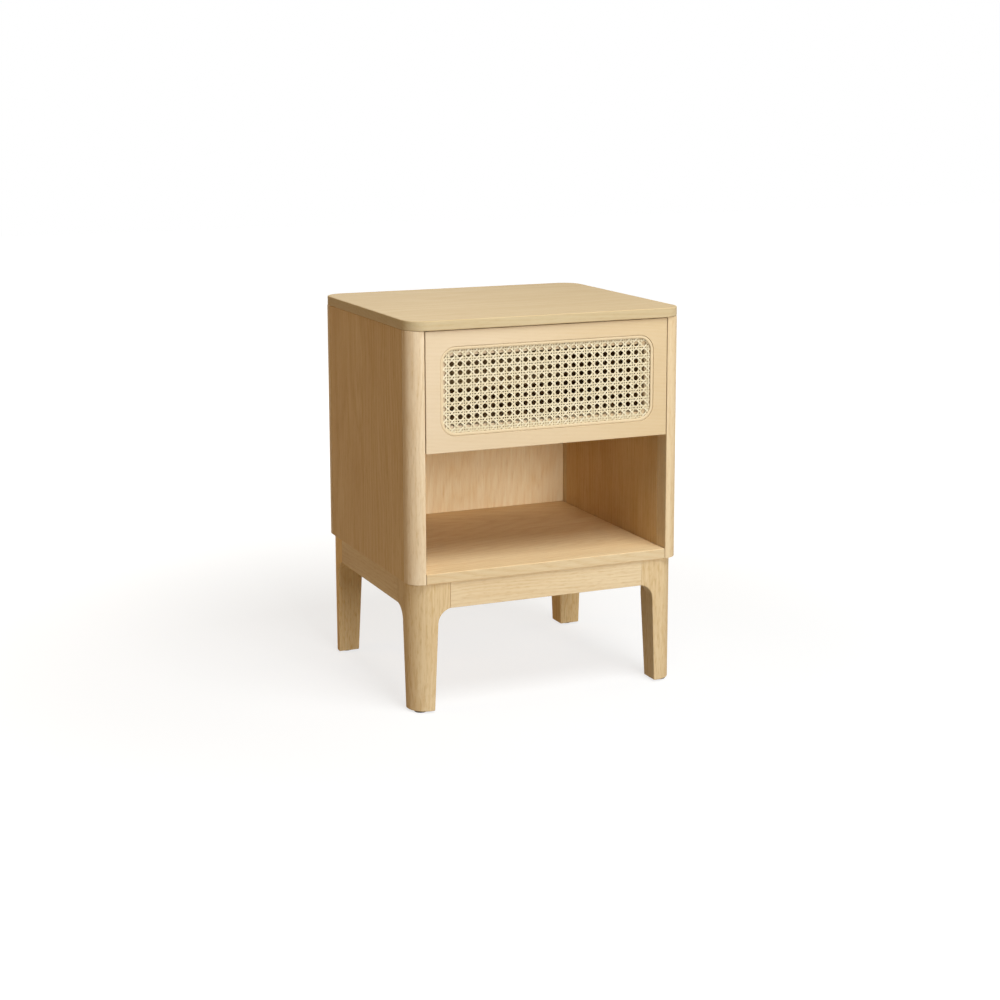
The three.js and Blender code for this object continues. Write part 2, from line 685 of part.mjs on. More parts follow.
/** Cane webbing: a thin sheet with a square pattern of eyes wherever one fits inside the bead. */
function caneWebbing() {
  const sheet = caneOutline(FIT_GAP);
  const { width, height } = caneFrame(BEAD_WIDTH);
  const columns = Math.ceil(width / 2 / CANE_PITCH);
  const rows = Math.ceil(height / 2 / CANE_PITCH);
  for (let row = -rows; row <= rows; row += 1) {
    const z = CANE_LIFT + row * CANE_PITCH;
    for (let column = -columns; column <= columns; column += 1) {
      const x = CANE_SHIFT + column * CANE_PITCH;
      if (insideBead(x, z, eyeHalf)) sheet.holes.push(eye(x, caneCentreZ + z));
    }
  }
  const ledge = carcassFront + CANE_REBATE - FIT_GAP;
  return piece('cane_webbing', prism(sheet, 'y', ledge - CANE_THICKNESS, ledge), FINISH.cane);
}

/** Round-nosed reed bead that clamps the webbing's edge into the rebate. */
function caneBead() {
  const ring = caneOutline(FIT_GAP);
  ring.holes.push(caneOutline(BEAD_WIDTH + FIT_GAP));
  const seat = carcassFront + CANE_REBATE - CANE_THICKNESS - 2 * FIT_GAP;
  const bead = prism(ring, 'y', carcassFront - BEAD_PROUD, seat, BEAD_ROUNDING, 2);
  return piece('cane_bead', bead, FINISH.reed);
}

// ---------------------------------------------------------------- drawer

/** Long hollow with round ends along the front's lower back edge, for the fingers. */
function fingerPull() {
  const outline = roundedRectangle(PULL_WIDTH, 2 * PULL_RADIUS, PULL_RADIUS, 0, frontBottom);
  return prism(outline, 'y', frontBack - PULL_RADIUS, frontBack + OVERSHOOT);
}

/** Drawer front: a board routed through for the cane, rebated in front and grooved behind. */
function drawerFront() {
  const outline = rectangle(-frontHalf, frontBottom, frontHalf, frontTop);
  const board = prism(outline, 'y', carcassFront, frontBack, FRONT_ARRIS);
  const rebate = prism(caneOutline(0), 'y', carcassFront - OVERSHOOT, carcassFront + CANE_REBATE);
  const window = prism(caneOutline(CANE_LEDGE), 'y', carcassFront, frontBack + OVERSHOOT);
  const bottomGroove = block(
    [-boxInnerHalf - BOX_GROOVE - FIT_GAP, frontBack - BOX_GROOVE - FIT_GAP, boxPanelBottom - FIT_GAP],
    [boxInnerHalf + BOX_GROOVE + FIT_GAP, frontBack + OVERSHOOT, boxPanelTop + FIT_GAP],
  );
  return piece('drawer_front', cut(board, rebate, window, bottomGroove, fingerPull()), FINISH.drawerOak);
}

/** The drawer box's sides, each grooved for the bottom. */
function drawerSides() {
  const side = block([-boxHalf, boxFront, boxBottom], [-boxInnerHalf, boxBack, boxTop]);
  const groove = block(
    [-boxInnerHalf - BOX_GROOVE - FIT_GAP, boxFront - OVERSHOOT, boxPanelBottom - FIT_GAP],
    [-boxInnerHalf + OVERSHOOT, boxBack + OVERSHOOT, boxPanelTop + FIT_GAP],
  );
  const left = cut(side, groove);
  return SIDES.map(([name, sign]) => piece(`drawer_${name}_side`, reflected(left, -sign, 1), FINISH.boxWood));
}

/** The drawer box's back, over the bottom's rear edge. */
function drawerBack() {
  const half = boxInnerHalf - FIT_GAP;
  const low = [-half, boxBack - BOX_SIDE_THICKNESS, boxPanelTop + FIT_GAP];
  return piece('drawer_back', block(low, [half, boxBack, boxTop]), FINISH.boxWood);
}

/** The drawer's bottom, slid into the grooves of the sides and the front. */
function drawerBottom() {
  const half = boxInnerHalf + BOX_GROOVE;
  const low = [-half, frontBack - BOX_GROOVE, boxPanelBottom];
  return piece('drawer_bottom', block(low, [half, boxBack, boxPanelTop]), FINISH.boxWood);
}

// ---------------------------------------------------------------- runners

/** Section of a rolled channel: a web at `web`, and flanges that reach to `tip`. */
function channelOutline(web, tip, halfHeight, middleZ) {
  const steel = Math.sign(tip - web) * RUNNER_STEEL;
  const outer = halfHeight;
  const inner = halfHeight - RUNNER_STEEL;
  return polygon([
    [web, -outer], [tip, -outer], [tip, -inner], [web + steel, -inner],
    [web + steel, inner], [tip, inner], [tip, outer], [web, outer],
  ].map(([x, z]) => [x, middleZ + z]));
}

/** The three nested members of the left runner: [member, web, flange tips, half height]. */
function runnerMembers() {
  const wall = -insideHalf + FIT_GAP;
  const boxFace = -boxHalf - FIT_GAP;
  const nest = RUNNER_STEEL + RUNNER_PLAY;
  const half = RUNNER_HEIGHT / 2;
  return [
    ['cabinet', wall, boxFace - RUNNER_LIP, half],
    ['middle', wall + nest, boxFace - nest, half - nest],
    ['drawer', boxFace, wall + 2 * nest, half - 2 * nest],
  ];
}

/** One member of both runners. */
function runners(wanted) {
  const [member, web, tip, halfHeight] = runnerMembers().find(([name]) => name === wanted);
  const outline = channelOutline(web, tip, halfHeight, (boxBottom + boxTop) / 2);
  const left = prism(outline, 'y', boxFront + RUNNER_SETBACK, boxBack - RUNNER_SETBACK);
  return SIDES.map(([side, sign]) => {
    return piece(`${side}_runner_${member}_member`, reflected(left, -sign, 1), FINISH.steel);
  });
}

// ---------------------------------------------------------------- assembly

/** A group of meshes and groups. */
function assembly(...parts) {
  const group = new THREE.Group();
  group.add(...parts.flat());
  return group;
}

const carcass = assembly(
  topPanel(), sidePanels(), cornerPosts(), bottomPanel(), dividerPanel(), backPanel(),
  topRails(), topScrews(), runners('cabinet'),
);
const base = assembly(baseCorners(), aprons());
const drawer = assembly(
  drawerFront(), caneWebbing(), caneBead(), drawerSides(), drawerBack(), drawerBottom(), runners('drawer'),
);

export default assembly(carcass, base, drawer, runners('middle'));
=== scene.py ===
"""Looks of a pale-oak nightstand: a cane-fronted drawer over an open compartment, on a flared base.

Lengths are millimetres until a mesh is made, and metres after that. +X is right, -Y is the front,
+Z is up. Each sub-assembly is a class with its sizes as fields; each finish is a frozen dataclass.
"""

import logging
import math
from collections.abc import Callable, Sequence
from dataclasses import dataclass, field
from enum import Enum

import bmesh
import bpy
import numpy as np
from mathutils import Matrix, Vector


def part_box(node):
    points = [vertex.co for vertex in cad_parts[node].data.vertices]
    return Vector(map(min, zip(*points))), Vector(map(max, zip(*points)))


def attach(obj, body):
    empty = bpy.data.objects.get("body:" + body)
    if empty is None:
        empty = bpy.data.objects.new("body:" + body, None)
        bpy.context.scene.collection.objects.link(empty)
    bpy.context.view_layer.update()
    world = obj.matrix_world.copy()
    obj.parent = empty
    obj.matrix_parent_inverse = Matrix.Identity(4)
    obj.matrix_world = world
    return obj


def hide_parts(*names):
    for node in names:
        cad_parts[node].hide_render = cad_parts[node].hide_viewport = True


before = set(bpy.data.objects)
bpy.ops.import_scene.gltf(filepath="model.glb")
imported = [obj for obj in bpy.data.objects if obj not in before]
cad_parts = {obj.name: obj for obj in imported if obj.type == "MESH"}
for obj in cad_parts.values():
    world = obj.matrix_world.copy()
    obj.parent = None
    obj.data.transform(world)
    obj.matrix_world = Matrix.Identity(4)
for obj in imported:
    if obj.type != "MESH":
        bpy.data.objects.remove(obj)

LOG = logging.getLogger("nightstand")
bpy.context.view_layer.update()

MM = 0.001  # metres in a millimetre
WELD = 2e-6  # metres: points closer than this are one
HOLD = 0.35  # mm from a rounding to the row of points that keeps the flat beside it flat
ARC_STEPS = 4  # facets of a small rounding
ROUND_STEPS = 20  # facets of a large corner
SHARP = math.radians(38)  # edges that turn more than this are drawn sharp
TIP = 0.3  # mm: radius left at the middle of a turned end
LIT = (0.0, -0.19, 0.32)  # metres: the place that the lamps face

SIDES = (("left", -1.0), ("right", 1.0))
CORNERS = [(f"{side}_{end}", x, y) for end, y in (("front", -1.0), ("rear", 1.0)) for side, x in SIDES]


class Grain(Enum):
    """The way the fibres of a piece run, as the turn that brings that way to Z."""

    X = (0.0, -math.pi / 2, 0.0)
    Y = (math.pi / 2, 0.0, 0.0)
    Z = (0.0, 0.0, 0.0)
    RISING = (0.0, -math.pi / 4, 0.0)
    FALLING = (0.0, math.pi / 4, 0.0)


class Across(Enum):
    """The axis that an outline is carried along: its own two axes are the other two, in order."""

    X = 0
    Y = 1
    Z = 2


# ---- colour and nodes


def linear(hex_colour: str) -> tuple[float, float, float, float]:
    """Turns an sRGB hex colour into linear RGBA.

    Args:
        hex_colour: six hex digits, such as "e6cf9f".

    Returns:
        The linear red, green and blue, and an alpha of 1.
    """
    srgb = np.array([int(hex_colour[i : i + 2], 16) for i in (0, 2, 4)]) / 255
    value = np.where(srgb <= 0.04045, srgb / 12.92, ((srgb + 0.055) / 1.055) ** 2.4)
    return (*value.tolist(), 1.0)


def add(
    tree: bpy.types.NodeTree,
    kind: str,
    inputs: dict[str | int, object] | Sequence[object] = (),
    **settings: object,
) -> bpy.types.Node:
    """Adds a node with its settings and links.

    Args:
        tree: the node tree.
        kind: the node's type name, without "ShaderNode"; its operation may follow a colon.
        inputs: values by socket name or number, or in the sockets' order. Each is a number or a
            colour, an output that feeds the socket, or a node whose first output does.
        settings: the node's properties; `stops` sets a colour ramp's (place, value) pairs.

    Returns:
        The new node.
    """
    kind, _, operation = kind.partition(":")
    node = tree.nodes.new("ShaderNode" + kind)
    if operation:
        node.operation = operation
    stops = settings.pop("stops", ())
    for name, value in settings.items():
        setattr(node, name, value)
    while stops and len(node.color_ramp.elements) < len(stops):
        node.color_ramp.elements.new(1.0)
    for number, (place, value) in enumerate(stops):
        node.color_ramp.elements[number].position = place
        node.color_ramp.elements[number].color = (value, value, value, 1.0)
    for socket, value in inputs.items() if isinstance(inputs, dict) else enumerate(inputs):
        if isinstance(value, bpy.types.Node):
            value = value.outputs[0]
        if isinstance(value, bpy.types.NodeSocket):
            tree.links.new(value, node.inputs[socket])
        else:
            node.inputs[socket].default_value = value
    return node


def blank(name: str) -> tuple[bpy.types.Material, bpy.types.NodeTree]:
    """A new material with an empty node tree."""
    material = bpy.data.materials.new(name)
    material.use_nodes = True
    material.node_tree.nodes.clear()
    return material, material.node_tree


def lay(
    tree: bpy.types.NodeTree,
    grain: Grain,
    sizes: dict[str, tuple[float, float, float]],
    shift: Sequence[float] = (0.0, 0.0, 0.0),
    leaf: float = 0.0,
    joint: float = 0.0,
) -> tuple[bpy.types.Node, dict[str, bpy.types.Node]]:
    """Lays the patterns of a material along the grain of a piece.

    Args:
        tree: its nodes.
        grain: the way they run.
        sizes: each one's millimetres across and along the grain, and its detail.
        shift: from the piece's middle to theirs.
        leaf: width of the leaves that a veneer is laid in, or nothing for one leaf.
        joint: from the piece's middle to a joint between two leaves.

    Returns:
        The place in millimetres, with the grain up Z, and the noises by name.
    """
    place = add(tree, "TexCoord").outputs["Object"]
    turned_up = {"Vector": place, "Location": shift, "Rotation": grain.value, "Scale": (1 / MM,) * 3}
    place = add(tree, "Mapping", turned_up)
    if leaf:
        # The leaves are sliced one after another from a log, so each shows the same figure.
        over = add(tree, "VectorMath:DOT_PRODUCT", (place, (1 / leaf, 1 / leaf, 0.0))).outputs["Value"]
        past = add(tree, "Math:ADD", (over, -(shift[0] + shift[1] + joint) / leaf))
        number = add(tree, "Math:FLOOR", (past,))
        place = add(tree, "VectorMath:MULTIPLY_ADD", (number, (-leaf, 0.8, 23.0), place))
    noises = {}
    for name, (across, along, detail) in sizes.items():
        scaled = add(tree, "VectorMath:MULTIPLY", (place, (1 / across, 1 / across, 1 / along)))
        noises[name] = add(tree, "TexNoise", {"Vector": scaled, "Scale": 1.0, "Detail": detail})
    return place, noises


def surface(
    tree: bpy.types.NodeTree,
    base: str,
    layers: Sequence[tuple[object, Sequence[float], str]],
    rough: bpy.types.Node,
    relief: tuple[bpy.types.Node, float, float],
    gloss: dict[str, float],
) -> None:
    """Ends a material.

    Args:
        tree: its nodes.
        base: the hex colour under its layers.
        layers: each one's share, linear colour and blend.
        rough: its roughness.
        relief: the height of its relief, how strongly it shows, and its depth in millimetres.
        gloss: the shader's other sockets.
    """
    colour = linear(base)
    for share, over, blend in layers:
        mixed = add(tree, "Mix", {0: share, 6: colour, 7: over}, data_type="RGBA", blend_type=blend)
        colour = mixed.outputs[2]
    height, strength, depth = relief
    bump = add(tree, "Bump", {"Height": height, "Strength": strength, "Distance": depth * MM})
    sockets = {"Base Color": colour, "Roughness": rough, "Normal": bump, **gloss}
    add(tree, "OutputMaterial", {"Surface": add(tree, "BsdfPrincipled", sockets)})


# ---- finishes


@dataclass(frozen=True)
class OakFinish:
    """Pale oak under a matt clear lacquer.

    Oak gives the eye bands of open, darker early wood between smooth late wood, short dark pores
    along the fibres, and slow changes of tone from board to board. The rings are circles about a
    pith that lies beside the board, wavered by slow noise, so a face cut near the pith shows
    cathedrals and one cut far from it shows straight lines. Most of a face is calm; the coarser
    marks gather in long zones.

    Attributes:
        name: what the material is called.
        light, dark, pore: colours of the late wood, of the early wood, and down in the pores.
        ring: millimetres from one year's ring to the next.
        pith: millimetres from the piece's middle to the tree's pith, both ways across the grain.
        taper: how much the trunk narrows along its length, which draws the cathedrals out.
        figure: how much of the dark tone the rings carry.
        fine: how strongly the fibres show.
        dash: how strongly single dark and light fibres show.
        streak: how strongly bundles of fibres show.
        cloud: how strongly the slow changes of tone show.
        flecks, pores: how strongly the rays and the pores show.
        leaf: width of the leaves that a veneer is laid in, or nothing for one leaf.
        joint: from the piece's middle to a joint between two leaves.
        far: what the colour turns by towards the right, rear or upper end of the board.
        edge_painted_shade: painted shade, what the colour turns by on the upright edges of a flat board, by
            how far a face turns from level.
        roughness: of the lacquer.
        sheen: how much of the lacquer's gloss the open pores leave.
    """

    name: str
    light: str
    dark: str
    pore: str
    ring: float = 5.5
    pith: tuple[float, float] = (150.0, 110.0)
    taper: float = 0.015
    figure: float = 0.5
    fine: float = 0.7
    dash: float = 0.6
    streak: float = 0.5
    cloud: float = 0.8
    flecks: float = 0.15
    pores: float = 0.3
    leaf: float = 0.0
    joint: float = 0.0
    far: tuple[float, float, float] | None = None
    edge_painted_shade: tuple[float, float, float] | None = None
    roughness: float = 0.5
    sheen: float = 0.03

    def material(self, label: str, grain: Grain, seed: int) -> bpy.types.Material:
        """Makes the finish for one piece, with a place in the tree of its own.

        Args:
            label: the piece's name.
            grain: the way its fibres run.
            seed: picks the board that it was cut from.

        Returns:
            The material.
        """
        material, tree = blank(f"{self.name}.{label}")
        board = np.random.default_rng(seed)
        shift = (*board.uniform(-25, 25, 2).tolist(), float(board.uniform(-4000, 4000)))
        pith = (self.pith[0] * board.uniform(0.7, 1.3), self.pith[1] * board.uniform(0.8, 1.25), 0.0)
        tone = float(board.uniform(-0.06, 0.06))
        # Fibres are 0.1 mm wide in the wood and pores 0.3 by 5 mm; both are drawn coarser so that
        # they show.
        sizes = {
            "waver": (70, 420, 2.0), "quick": (14, 190, 1.0), "zones": (24, 260, 1.0),
            "fibres": (1.3, 60, 3.0), "streaks": (4.5, 110, 3.0), "dashes": (1.5, 42, 1.0),
            "pores": (0.8, 16, 1.0), "rays": (3.2, 13, 2.0), "clouds": (38, 210, 3.0),
        }
        fibre, noise = lay(tree, grain, sizes, shift, self.leaf, self.joint)

        # The rings waver by 13 mm each way along the trunk, and by up to 9 mm more in a quicker way
        # that makes no two years alike.
        waver = add(tree, "Math:MULTIPLY_ADD", (noise["waver"], 26.0, -13.0))
        quick = add(tree, "Math:MULTIPLY_ADD", (noise["quick"], 9.0, waver))
        from_pith = add(tree, "VectorMath:SUBTRACT", (fibre, pith))
        wavered = add(tree, "VectorMath:ADD", (from_pith, add(tree, "CombineXYZ", (waver, quick))))
        flat = add(tree, "VectorMath:MULTIPLY", (wavered, (1.0, 1.0, 0.0)))
        radius = add(tree, "VectorMath:LENGTH", (flat,)).outputs["Value"]
        level = add(tree, "SeparateXYZ", (fibre,)).outputs[2]
        radius = add(tree, "Math:MULTIPLY_ADD", (level, self.taper, radius))
        year = add(tree, "Math:FRACT", (add(tree, "Math:DIVIDE", (radius, self.ring)),))
        early, zone, dashes, specks, rays = (
            add(tree, "ValToRGB", (source,), stops=stops)
            for source, stops in (
                (year, ((0.0, 0.5), (0.16, 1.0), (0.45, 0.35), (0.8, 0.0), (1.0, 0.5))),
                (noise["zones"], ((0.42, 0.25), (0.62, 1.0))),
                (noise["dashes"], ((0.26, 0.0), (0.36, 0.5), (0.62, 0.5), (0.72, 1.0))),
                (noise["pores"], ((0.56, 0.0), (0.70, 1.0))),
                (noise["rays"], ((0.52, 0.0), (0.72, 1.0))),
            )
        )
        # Pores crowd in the early wood, and are sparse in the late.
        crowded = add(tree, "Math:MULTIPLY_ADD", (early, 0.65, 0.35))
        pores = add(tree, "Math:MULTIPLY", (specks, crowded))

        marks = add(tree, "Math:MULTIPLY_ADD", (noise["fibres"], self.fine, -0.5 * (self.fine + self.dash)))
        marks = add(tree, "Math:MULTIPLY_ADD", (dashes, self.dash, marks))
        # Each pattern adds its amount, less its amount at its own middle.
        shares = (
            (0.5 * self.figure, early, 0.4), (self.streak, noise["streaks"], 0.5),
            (self.cloud, noise["clouds"], 0.5), (self.flecks, rays, 0.0),
        )
        start = 0.4 + tone - sum(amount * middle for amount, _, middle in shares)
        tones = add(tree, "Math:MULTIPLY_ADD", (marks, zone, start))
        for amount, source, _ in shares:
            tones = add(tree, "Math:MULTIPLY_ADD", (source, amount, tones))
        tones.use_clamp = True
        layers = [(tones, linear(self.dark), "MIX")]
        if self.far:
            # Over 200 mm each way from the board's middle.
            ends = add(tree, "MapRange", (level, shift[2] - 200, shift[2] + 200))
            layers.append((ends, (*self.far, 1.0), "MULTIPLY"))
        # Painted shade: faces that turn from level, such as a flat board's upright edges, are darkened by how
        # far they turn, as if they stood in shade.
        if self.edge_painted_shade:
            facing = add(tree, "SeparateXYZ", (add(tree, "TexCoord").outputs["Normal"],)).outputs[2]
            level_face = add(tree, "Math:ABSOLUTE", (facing,))
            edge = add(tree, "Math:SUBTRACT", (1.0, level_face), use_clamp=True)
            layers.append((edge, (*self.edge_painted_shade, 1.0), "MULTIPLY"))
        layers.append((add(tree, "Math:MULTIPLY", (pores, self.pores)), linear(self.pore), "MIX"))
        rough = add(tree, "Math:MULTIPLY_ADD", (noise["fibres"], 0.14, self.roughness - 0.07))
        sunk = add(tree, "Math:MULTIPLY", (pores, -0.8))
        relief = add(tree, "Math:MULTIPLY_ADD", (noise["fibres"], 0.35, sunk))
        # Under the lacquer the open pores are still about 0.05 mm deep. A matt lacquer over them
        # mirrors far less of the room than a smooth film.
        gloss = {"IOR": 1.5, "Specular IOR Level": self.sheen}
        surface(tree, self.light, layers, rough, (relief, 0.3 * self.fine, 0.05), gloss)
        return material


@dataclass(frozen=True)
class CaneFinish:
    """Split rattan cane, skin side out.

    The skin gives the eye a smooth, faintly glossy ivory with fine lengthwise streaks; one strand
    is a little browner than the next, and here and there a joint of the stem leaves a tan mark.

    Attributes:
        name: what the material is called.
        pale: colour of most of the strands.
        tan: colour of the browner strands and of the marks.
        roughness: of the skin.
    """

    name: str
    pale: str
    tan: str
    roughness: float = 0.38

    def material(self, label: str, grain: Grain) -> bpy.types.Material:
        """Makes the finish for the strands that run one way, or for the bead.

        Args:
            label: the piece's name.
            grain: the way its strands run.

        Returns:
            The material.
        """
        material, tree = blank(f"{self.name}.{label}")
        # Streaks of the split stem are 0.5 mm across and 30 mm long, and its marks 2.5 by 4.5 mm.
        sizes = {"streaks": (0.5, 30, 2.0), "marks": (2.5, 1 / 0.22, 1.0)}
        noise = lay(tree, grain, sizes)[1]
        marks = add(tree, "ValToRGB", (noise["marks"],), stops=((0.66, 0.0), (0.78, 1.0)))
        strand = add(tree, "Attribute", attribute_name="strand_tone").outputs["Fac"]
        tone = add(tree, "Math:MULTIPLY_ADD", (noise["streaks"], 0.5, -0.15))
        tone = add(tree, "Math:ADD", (tone, strand))
        tone = add(tree, "Math:MULTIPLY_ADD", (marks, 0.35, tone), use_clamp=True)
        rough = add(tree, "Math:MULTIPLY_ADD", (noise["streaks"], 0.2, self.roughness - 0.1))
        layers = [(tone, linear(self.tan), "MIX")]
        surface(tree, self.pale, layers, rough, (noise["streaks"], 0.3, 0.05), {"IOR": 1.5})
        return material


@dataclass(frozen=True)
class ZincSteelFinish:
    """Cold-rolled steel with bright zinc plating: a cool grey metal with faint rolling lines.

    Attributes:
        name: what the material is called.
        bright: colour of clean zinc.
        dull: colour where the plating is thin.
    """

    name: str
    bright: str
    dull: str

    def material(self, label: str, grain: Grain) -> bpy.types.Material:
        """Makes the finish, its rolling lines along the given way."""
        material, tree = blank(f"{self.name}.{label}")
        # Rolling lines 0.7 mm apart and 80 mm long, and clouds of plating 9 mm across.
        sizes = {"lines": (1 / 1.4, 80, 2.0), "clouds": (9, 9, 3.0)}
        noise = lay(tree, grain, sizes)[1]
        tone = add(tree, "Math:MULTIPLY_ADD", (noise["clouds"], 0.8, noise["lines"]))
        tone = add(tree, "Math:MULTIPLY_ADD", (tone, 1.2, -0.7), use_clamp=True)
        rough = add(tree, "Math:MULTIPLY_ADD", (noise["lines"], 0.2, 0.24))
        layers = [(tone, linear(self.dull), "MIX")]
        surface(tree, self.bright, layers, rough, (noise["lines"], 0.2, 0.02), {"Metallic": 1.0})
        return material


@dataclass(frozen=True)
class NylonFinish:
    """Moulded nylon: a dull, very dark brown with a fine spark-eroded grain.

    Attributes:
        name: what the material is called.
        body: colour of the nylon.
        scuffed: colour where it has rubbed on a floor.
    """

    name: str
    body: str
    scuffed: str

    def material(self, label: str) -> bpy.types.Material:
        """Makes the finish."""
        material, tree = blank(f"{self.name}.{label}")
        # Mould grain 0.4 mm across, and scuffs about 3 mm across.
        sizes = {"grit": (0.4, 0.4, 2.0), "scuffs": (1 / 0.33, 1 / 0.33, 4.0)}
        noise = lay(tree, Grain.Z, sizes)[1]
        worn = add(tree, "ValToRGB", (noise["scuffs"],), stops=((0.5, 0.0), (0.75, 1.0)))
        rough = add(tree, "Math:MULTIPLY_ADD", (noise["grit"], 0.2, 0.4))
        layers = [(worn, linear(self.scuffed), "MIX")]
        surface(tree, self.body, layers, rough, (noise["grit"], 0.3, 0.03), {})
        return material


VENEER = OakFinish("oak_veneer_lacquered", "e3c799", "cba671", "a37f4d", fine=1.0, dash=0.9, streak=0.6)
TOP_VENEER = OakFinish(
    "top_oak_veneer_lacquered", "dec8a0", "ceb184", "a37f4d", figure=0.4, fine=0.5, dash=0.35, cloud=0.5,
    pores=0.15, edge_painted_shade=(0.88, 0.92, 0.95),
)
# The back's figure is its own; its colour is drawn paler than the other veneers' to paint on the light that
# falls into the open compartment: partly painted light.
BACK_VENEER = OakFinish(
    "back_oak_veneer_lacquered", "fee9c1", "f0cd96", "c49e68", ring=6.5, pith=(60.0, 45.0), taper=0.08,
    figure=0.55, fine=0.9, dash=0.7, streak=0.8, pores=0.2, leaf=150.0, joint=82.0,
)
FLOOR_VENEER = OakFinish(
    "floor_oak_veneer_lacquered", "f6dbae", "e3bd88", "b08a54", ring=6.5, pith=(45.0, 60.0), taper=0.11,
    figure=0.5, fine=0.9, dash=0.8, streak=0.6, edge_painted_shade=(0.82, 0.86, 0.92),
)
SOLID_OAK = OakFinish(
    "solid_oak_lacquered", "e8d3ae", "d2b386", "a07a46", ring=4.2, pith=(90.0, 70.0), fine=0.35, dash=0.5,
    streak=0.4, flecks=0.3, pores=0.2,
)
PALE_OAK = OakFinish(
    "pale_oak_lacquered", "efdcbe", "d9bc93", "a5824f", ring=4.2, pith=(90.0, 70.0), fine=0.8, dash=0.8,
    flecks=0.3,
)
LEG_OAK = OakFinish(
    "leg_oak_lacquered", "e3cca4", "cdac7b", "96703d", ring=4.2, pith=(60.0, 45.0), taper=0.04,
    fine=0.9, dash=0.8, flecks=0.4,
)
# Painted light: a paler, warmer copy of the leg oak for the rear legs, so that their faces, which sit in the
# cabinet's shade, read as lit.
REAR_LEG_PAINTED_LIGHT_OAK = OakFinish(
    "rear_leg_oak_painted_light", "fbe0ae", "e6bd7e", "a5824f", ring=4.2, pith=(60.0, 45.0), taper=0.04,
    fine=1.1, dash=1.2, flecks=0.4,
)
DRAWER_OAK = OakFinish(
    "drawer_oak_lacquered", "e3cfb2", "dac29e", "b59466", pith=(60.0, 45.0), taper=0.09,
    figure=0.4, fine=0.12, dash=0.1, streak=0.2, cloud=0.9, pores=0.03, far=(0.93, 0.89, 0.78),
)
# Sanded rubberwood, drawn darker than bare rubberwood so that the drawer's inside reads as shaded through the
# cane's eyes: its own tone plus painted shade.
BOX_WOOD = OakFinish(
    "rubberwood_sanded", "c2a272", "a68253", "765230", ring=9.0, figure=0.3, pores=0.35, roughness=0.6
)
CANE = CaneFinish("cane_skin", "e8dcbc", "c2a974")
CANE_LIGHT = CaneFinish("pale_cane_skin", "ebe0c4", "cfb987")
REED = CaneFinish("reed_bead", "e0cba7", "cbaf80", roughness=0.65)
ZINC = ZincSteelFinish("zinc_plated_steel", "c9ccd0", "9ba0a6")
NYLON = NylonFinish("moulded_nylon", "2b241e", "5a5048")


# ---- shapes


@dataclass
class Part:
    """One or more closed surfaces as arrays.

    Attributes:
        points: (n, 3) in millimetres.
        quads: (k, 4) point numbers.
        caps: longer faces, each a list of point numbers.
    """

    points: np.ndarray
    quads: np.ndarray
    caps: list[list[int]]


@dataclass(frozen=True)
class Outline:
    """A closed outline in a plane, counter-clockwise.

    Attributes:
        points: (n, 2).
        outward: (n, 2), the unit way out of the outline at each point.
    """

    points: np.ndarray
    outward: np.ndarray

    def inset(self, amount: float) -> np.ndarray:
        """The outline's points moved inwards by an amount."""
        return self.points - amount * self.outward


def outline(
    corners: Sequence[Sequence[float]],
    radii: Sequence[float],
    steps: Sequence[int] | int = ARC_STEPS,
    ways: Sequence[Sequence[float]] | None = None,
) -> Outline:
    """Rounds the corners of a polygon.

    A corner that turns by an angle t is rounded by an arc of radius r that starts r tan(t/2)
    before it and ends as far after it. A point of the arc is its centre plus r times the outward
    direction, which turns evenly from one side's to the next's. One more point is held a little
    way along the straight at both ends of the arc. At a hollow corner r is 0 and the arc is its
    centre, so that an inset opens it into one.

    Args:
        corners: (n, 2) corners, counter-clockwise.
        radii: n radii.
        steps: facets of each arc.
        ways: (n, 2) unit direction from each corner to the next, for sides that may have no length.

    Returns:
        The outline.
    """
    corner = np.asarray(corners, float)
    radius = np.asarray(radii, float)
    step = np.full(len(corner), steps) if isinstance(steps, int) else np.asarray(steps)
    reach = np.roll(corner, -1, 0) - corner
    length = np.linalg.norm(reach, axis=1)
    out_way = reach / length[:, None] if ways is None else np.asarray(ways, float)
    in_way = np.roll(out_way, 1, 0)
    cross = in_way[:, 0] * out_way[:, 1] - in_way[:, 1] * out_way[:, 0]
    turn = np.arctan2(cross, (in_way * out_way).sum(1))
    tangent = radius * np.tan(np.abs(turn) / 2)
    held_out = np.clip((length - tangent - np.roll(tangent, -1)) / 3, 0, HOLD)
    held_in = np.roll(held_out, 1)
    points, outward = [], []
    for i, (x, y) in enumerate(in_way):
        start = corner[i] - in_way[i] * tangent[i]
        bend = (np.sign(turn[i]) or 1.0) * radius[i]
        centre = start - bend * np.array([y, -x])
        angle = turn[i] * np.linspace(0, 1, step[i] + 1)
        cos, sin = np.cos(angle), np.sin(angle)
        normal = np.stack([y * cos + x * sin, y * sin - x * cos], 1)
        arc = centre + bend * normal
        points += [arc[0] - in_way[i] * held_in[i], *arc, arc[-1] + out_way[i] * held_out[i]]
        outward += [normal[0], *normal, normal[-1]]
    return Outline(np.array(points), np.array(outward))


def rectangle(low: Sequence[float], high: Sequence[float], radius: float, steps: int = ARC_STEPS) -> Outline:
    """A rectangle between two corners, its own corners rounded."""
    corners = [(low[0], low[1]), (high[0], low[1]), (high[0], high[1]), (low[0], high[1])]
    return outline(corners, [radius] * 4, steps)


def stand(points: np.ndarray, across: Across, station: float) -> np.ndarray:
    """Stands (n, 2) points in space at a station along an axis."""
    return np.insert(points, across.value, station, axis=1)


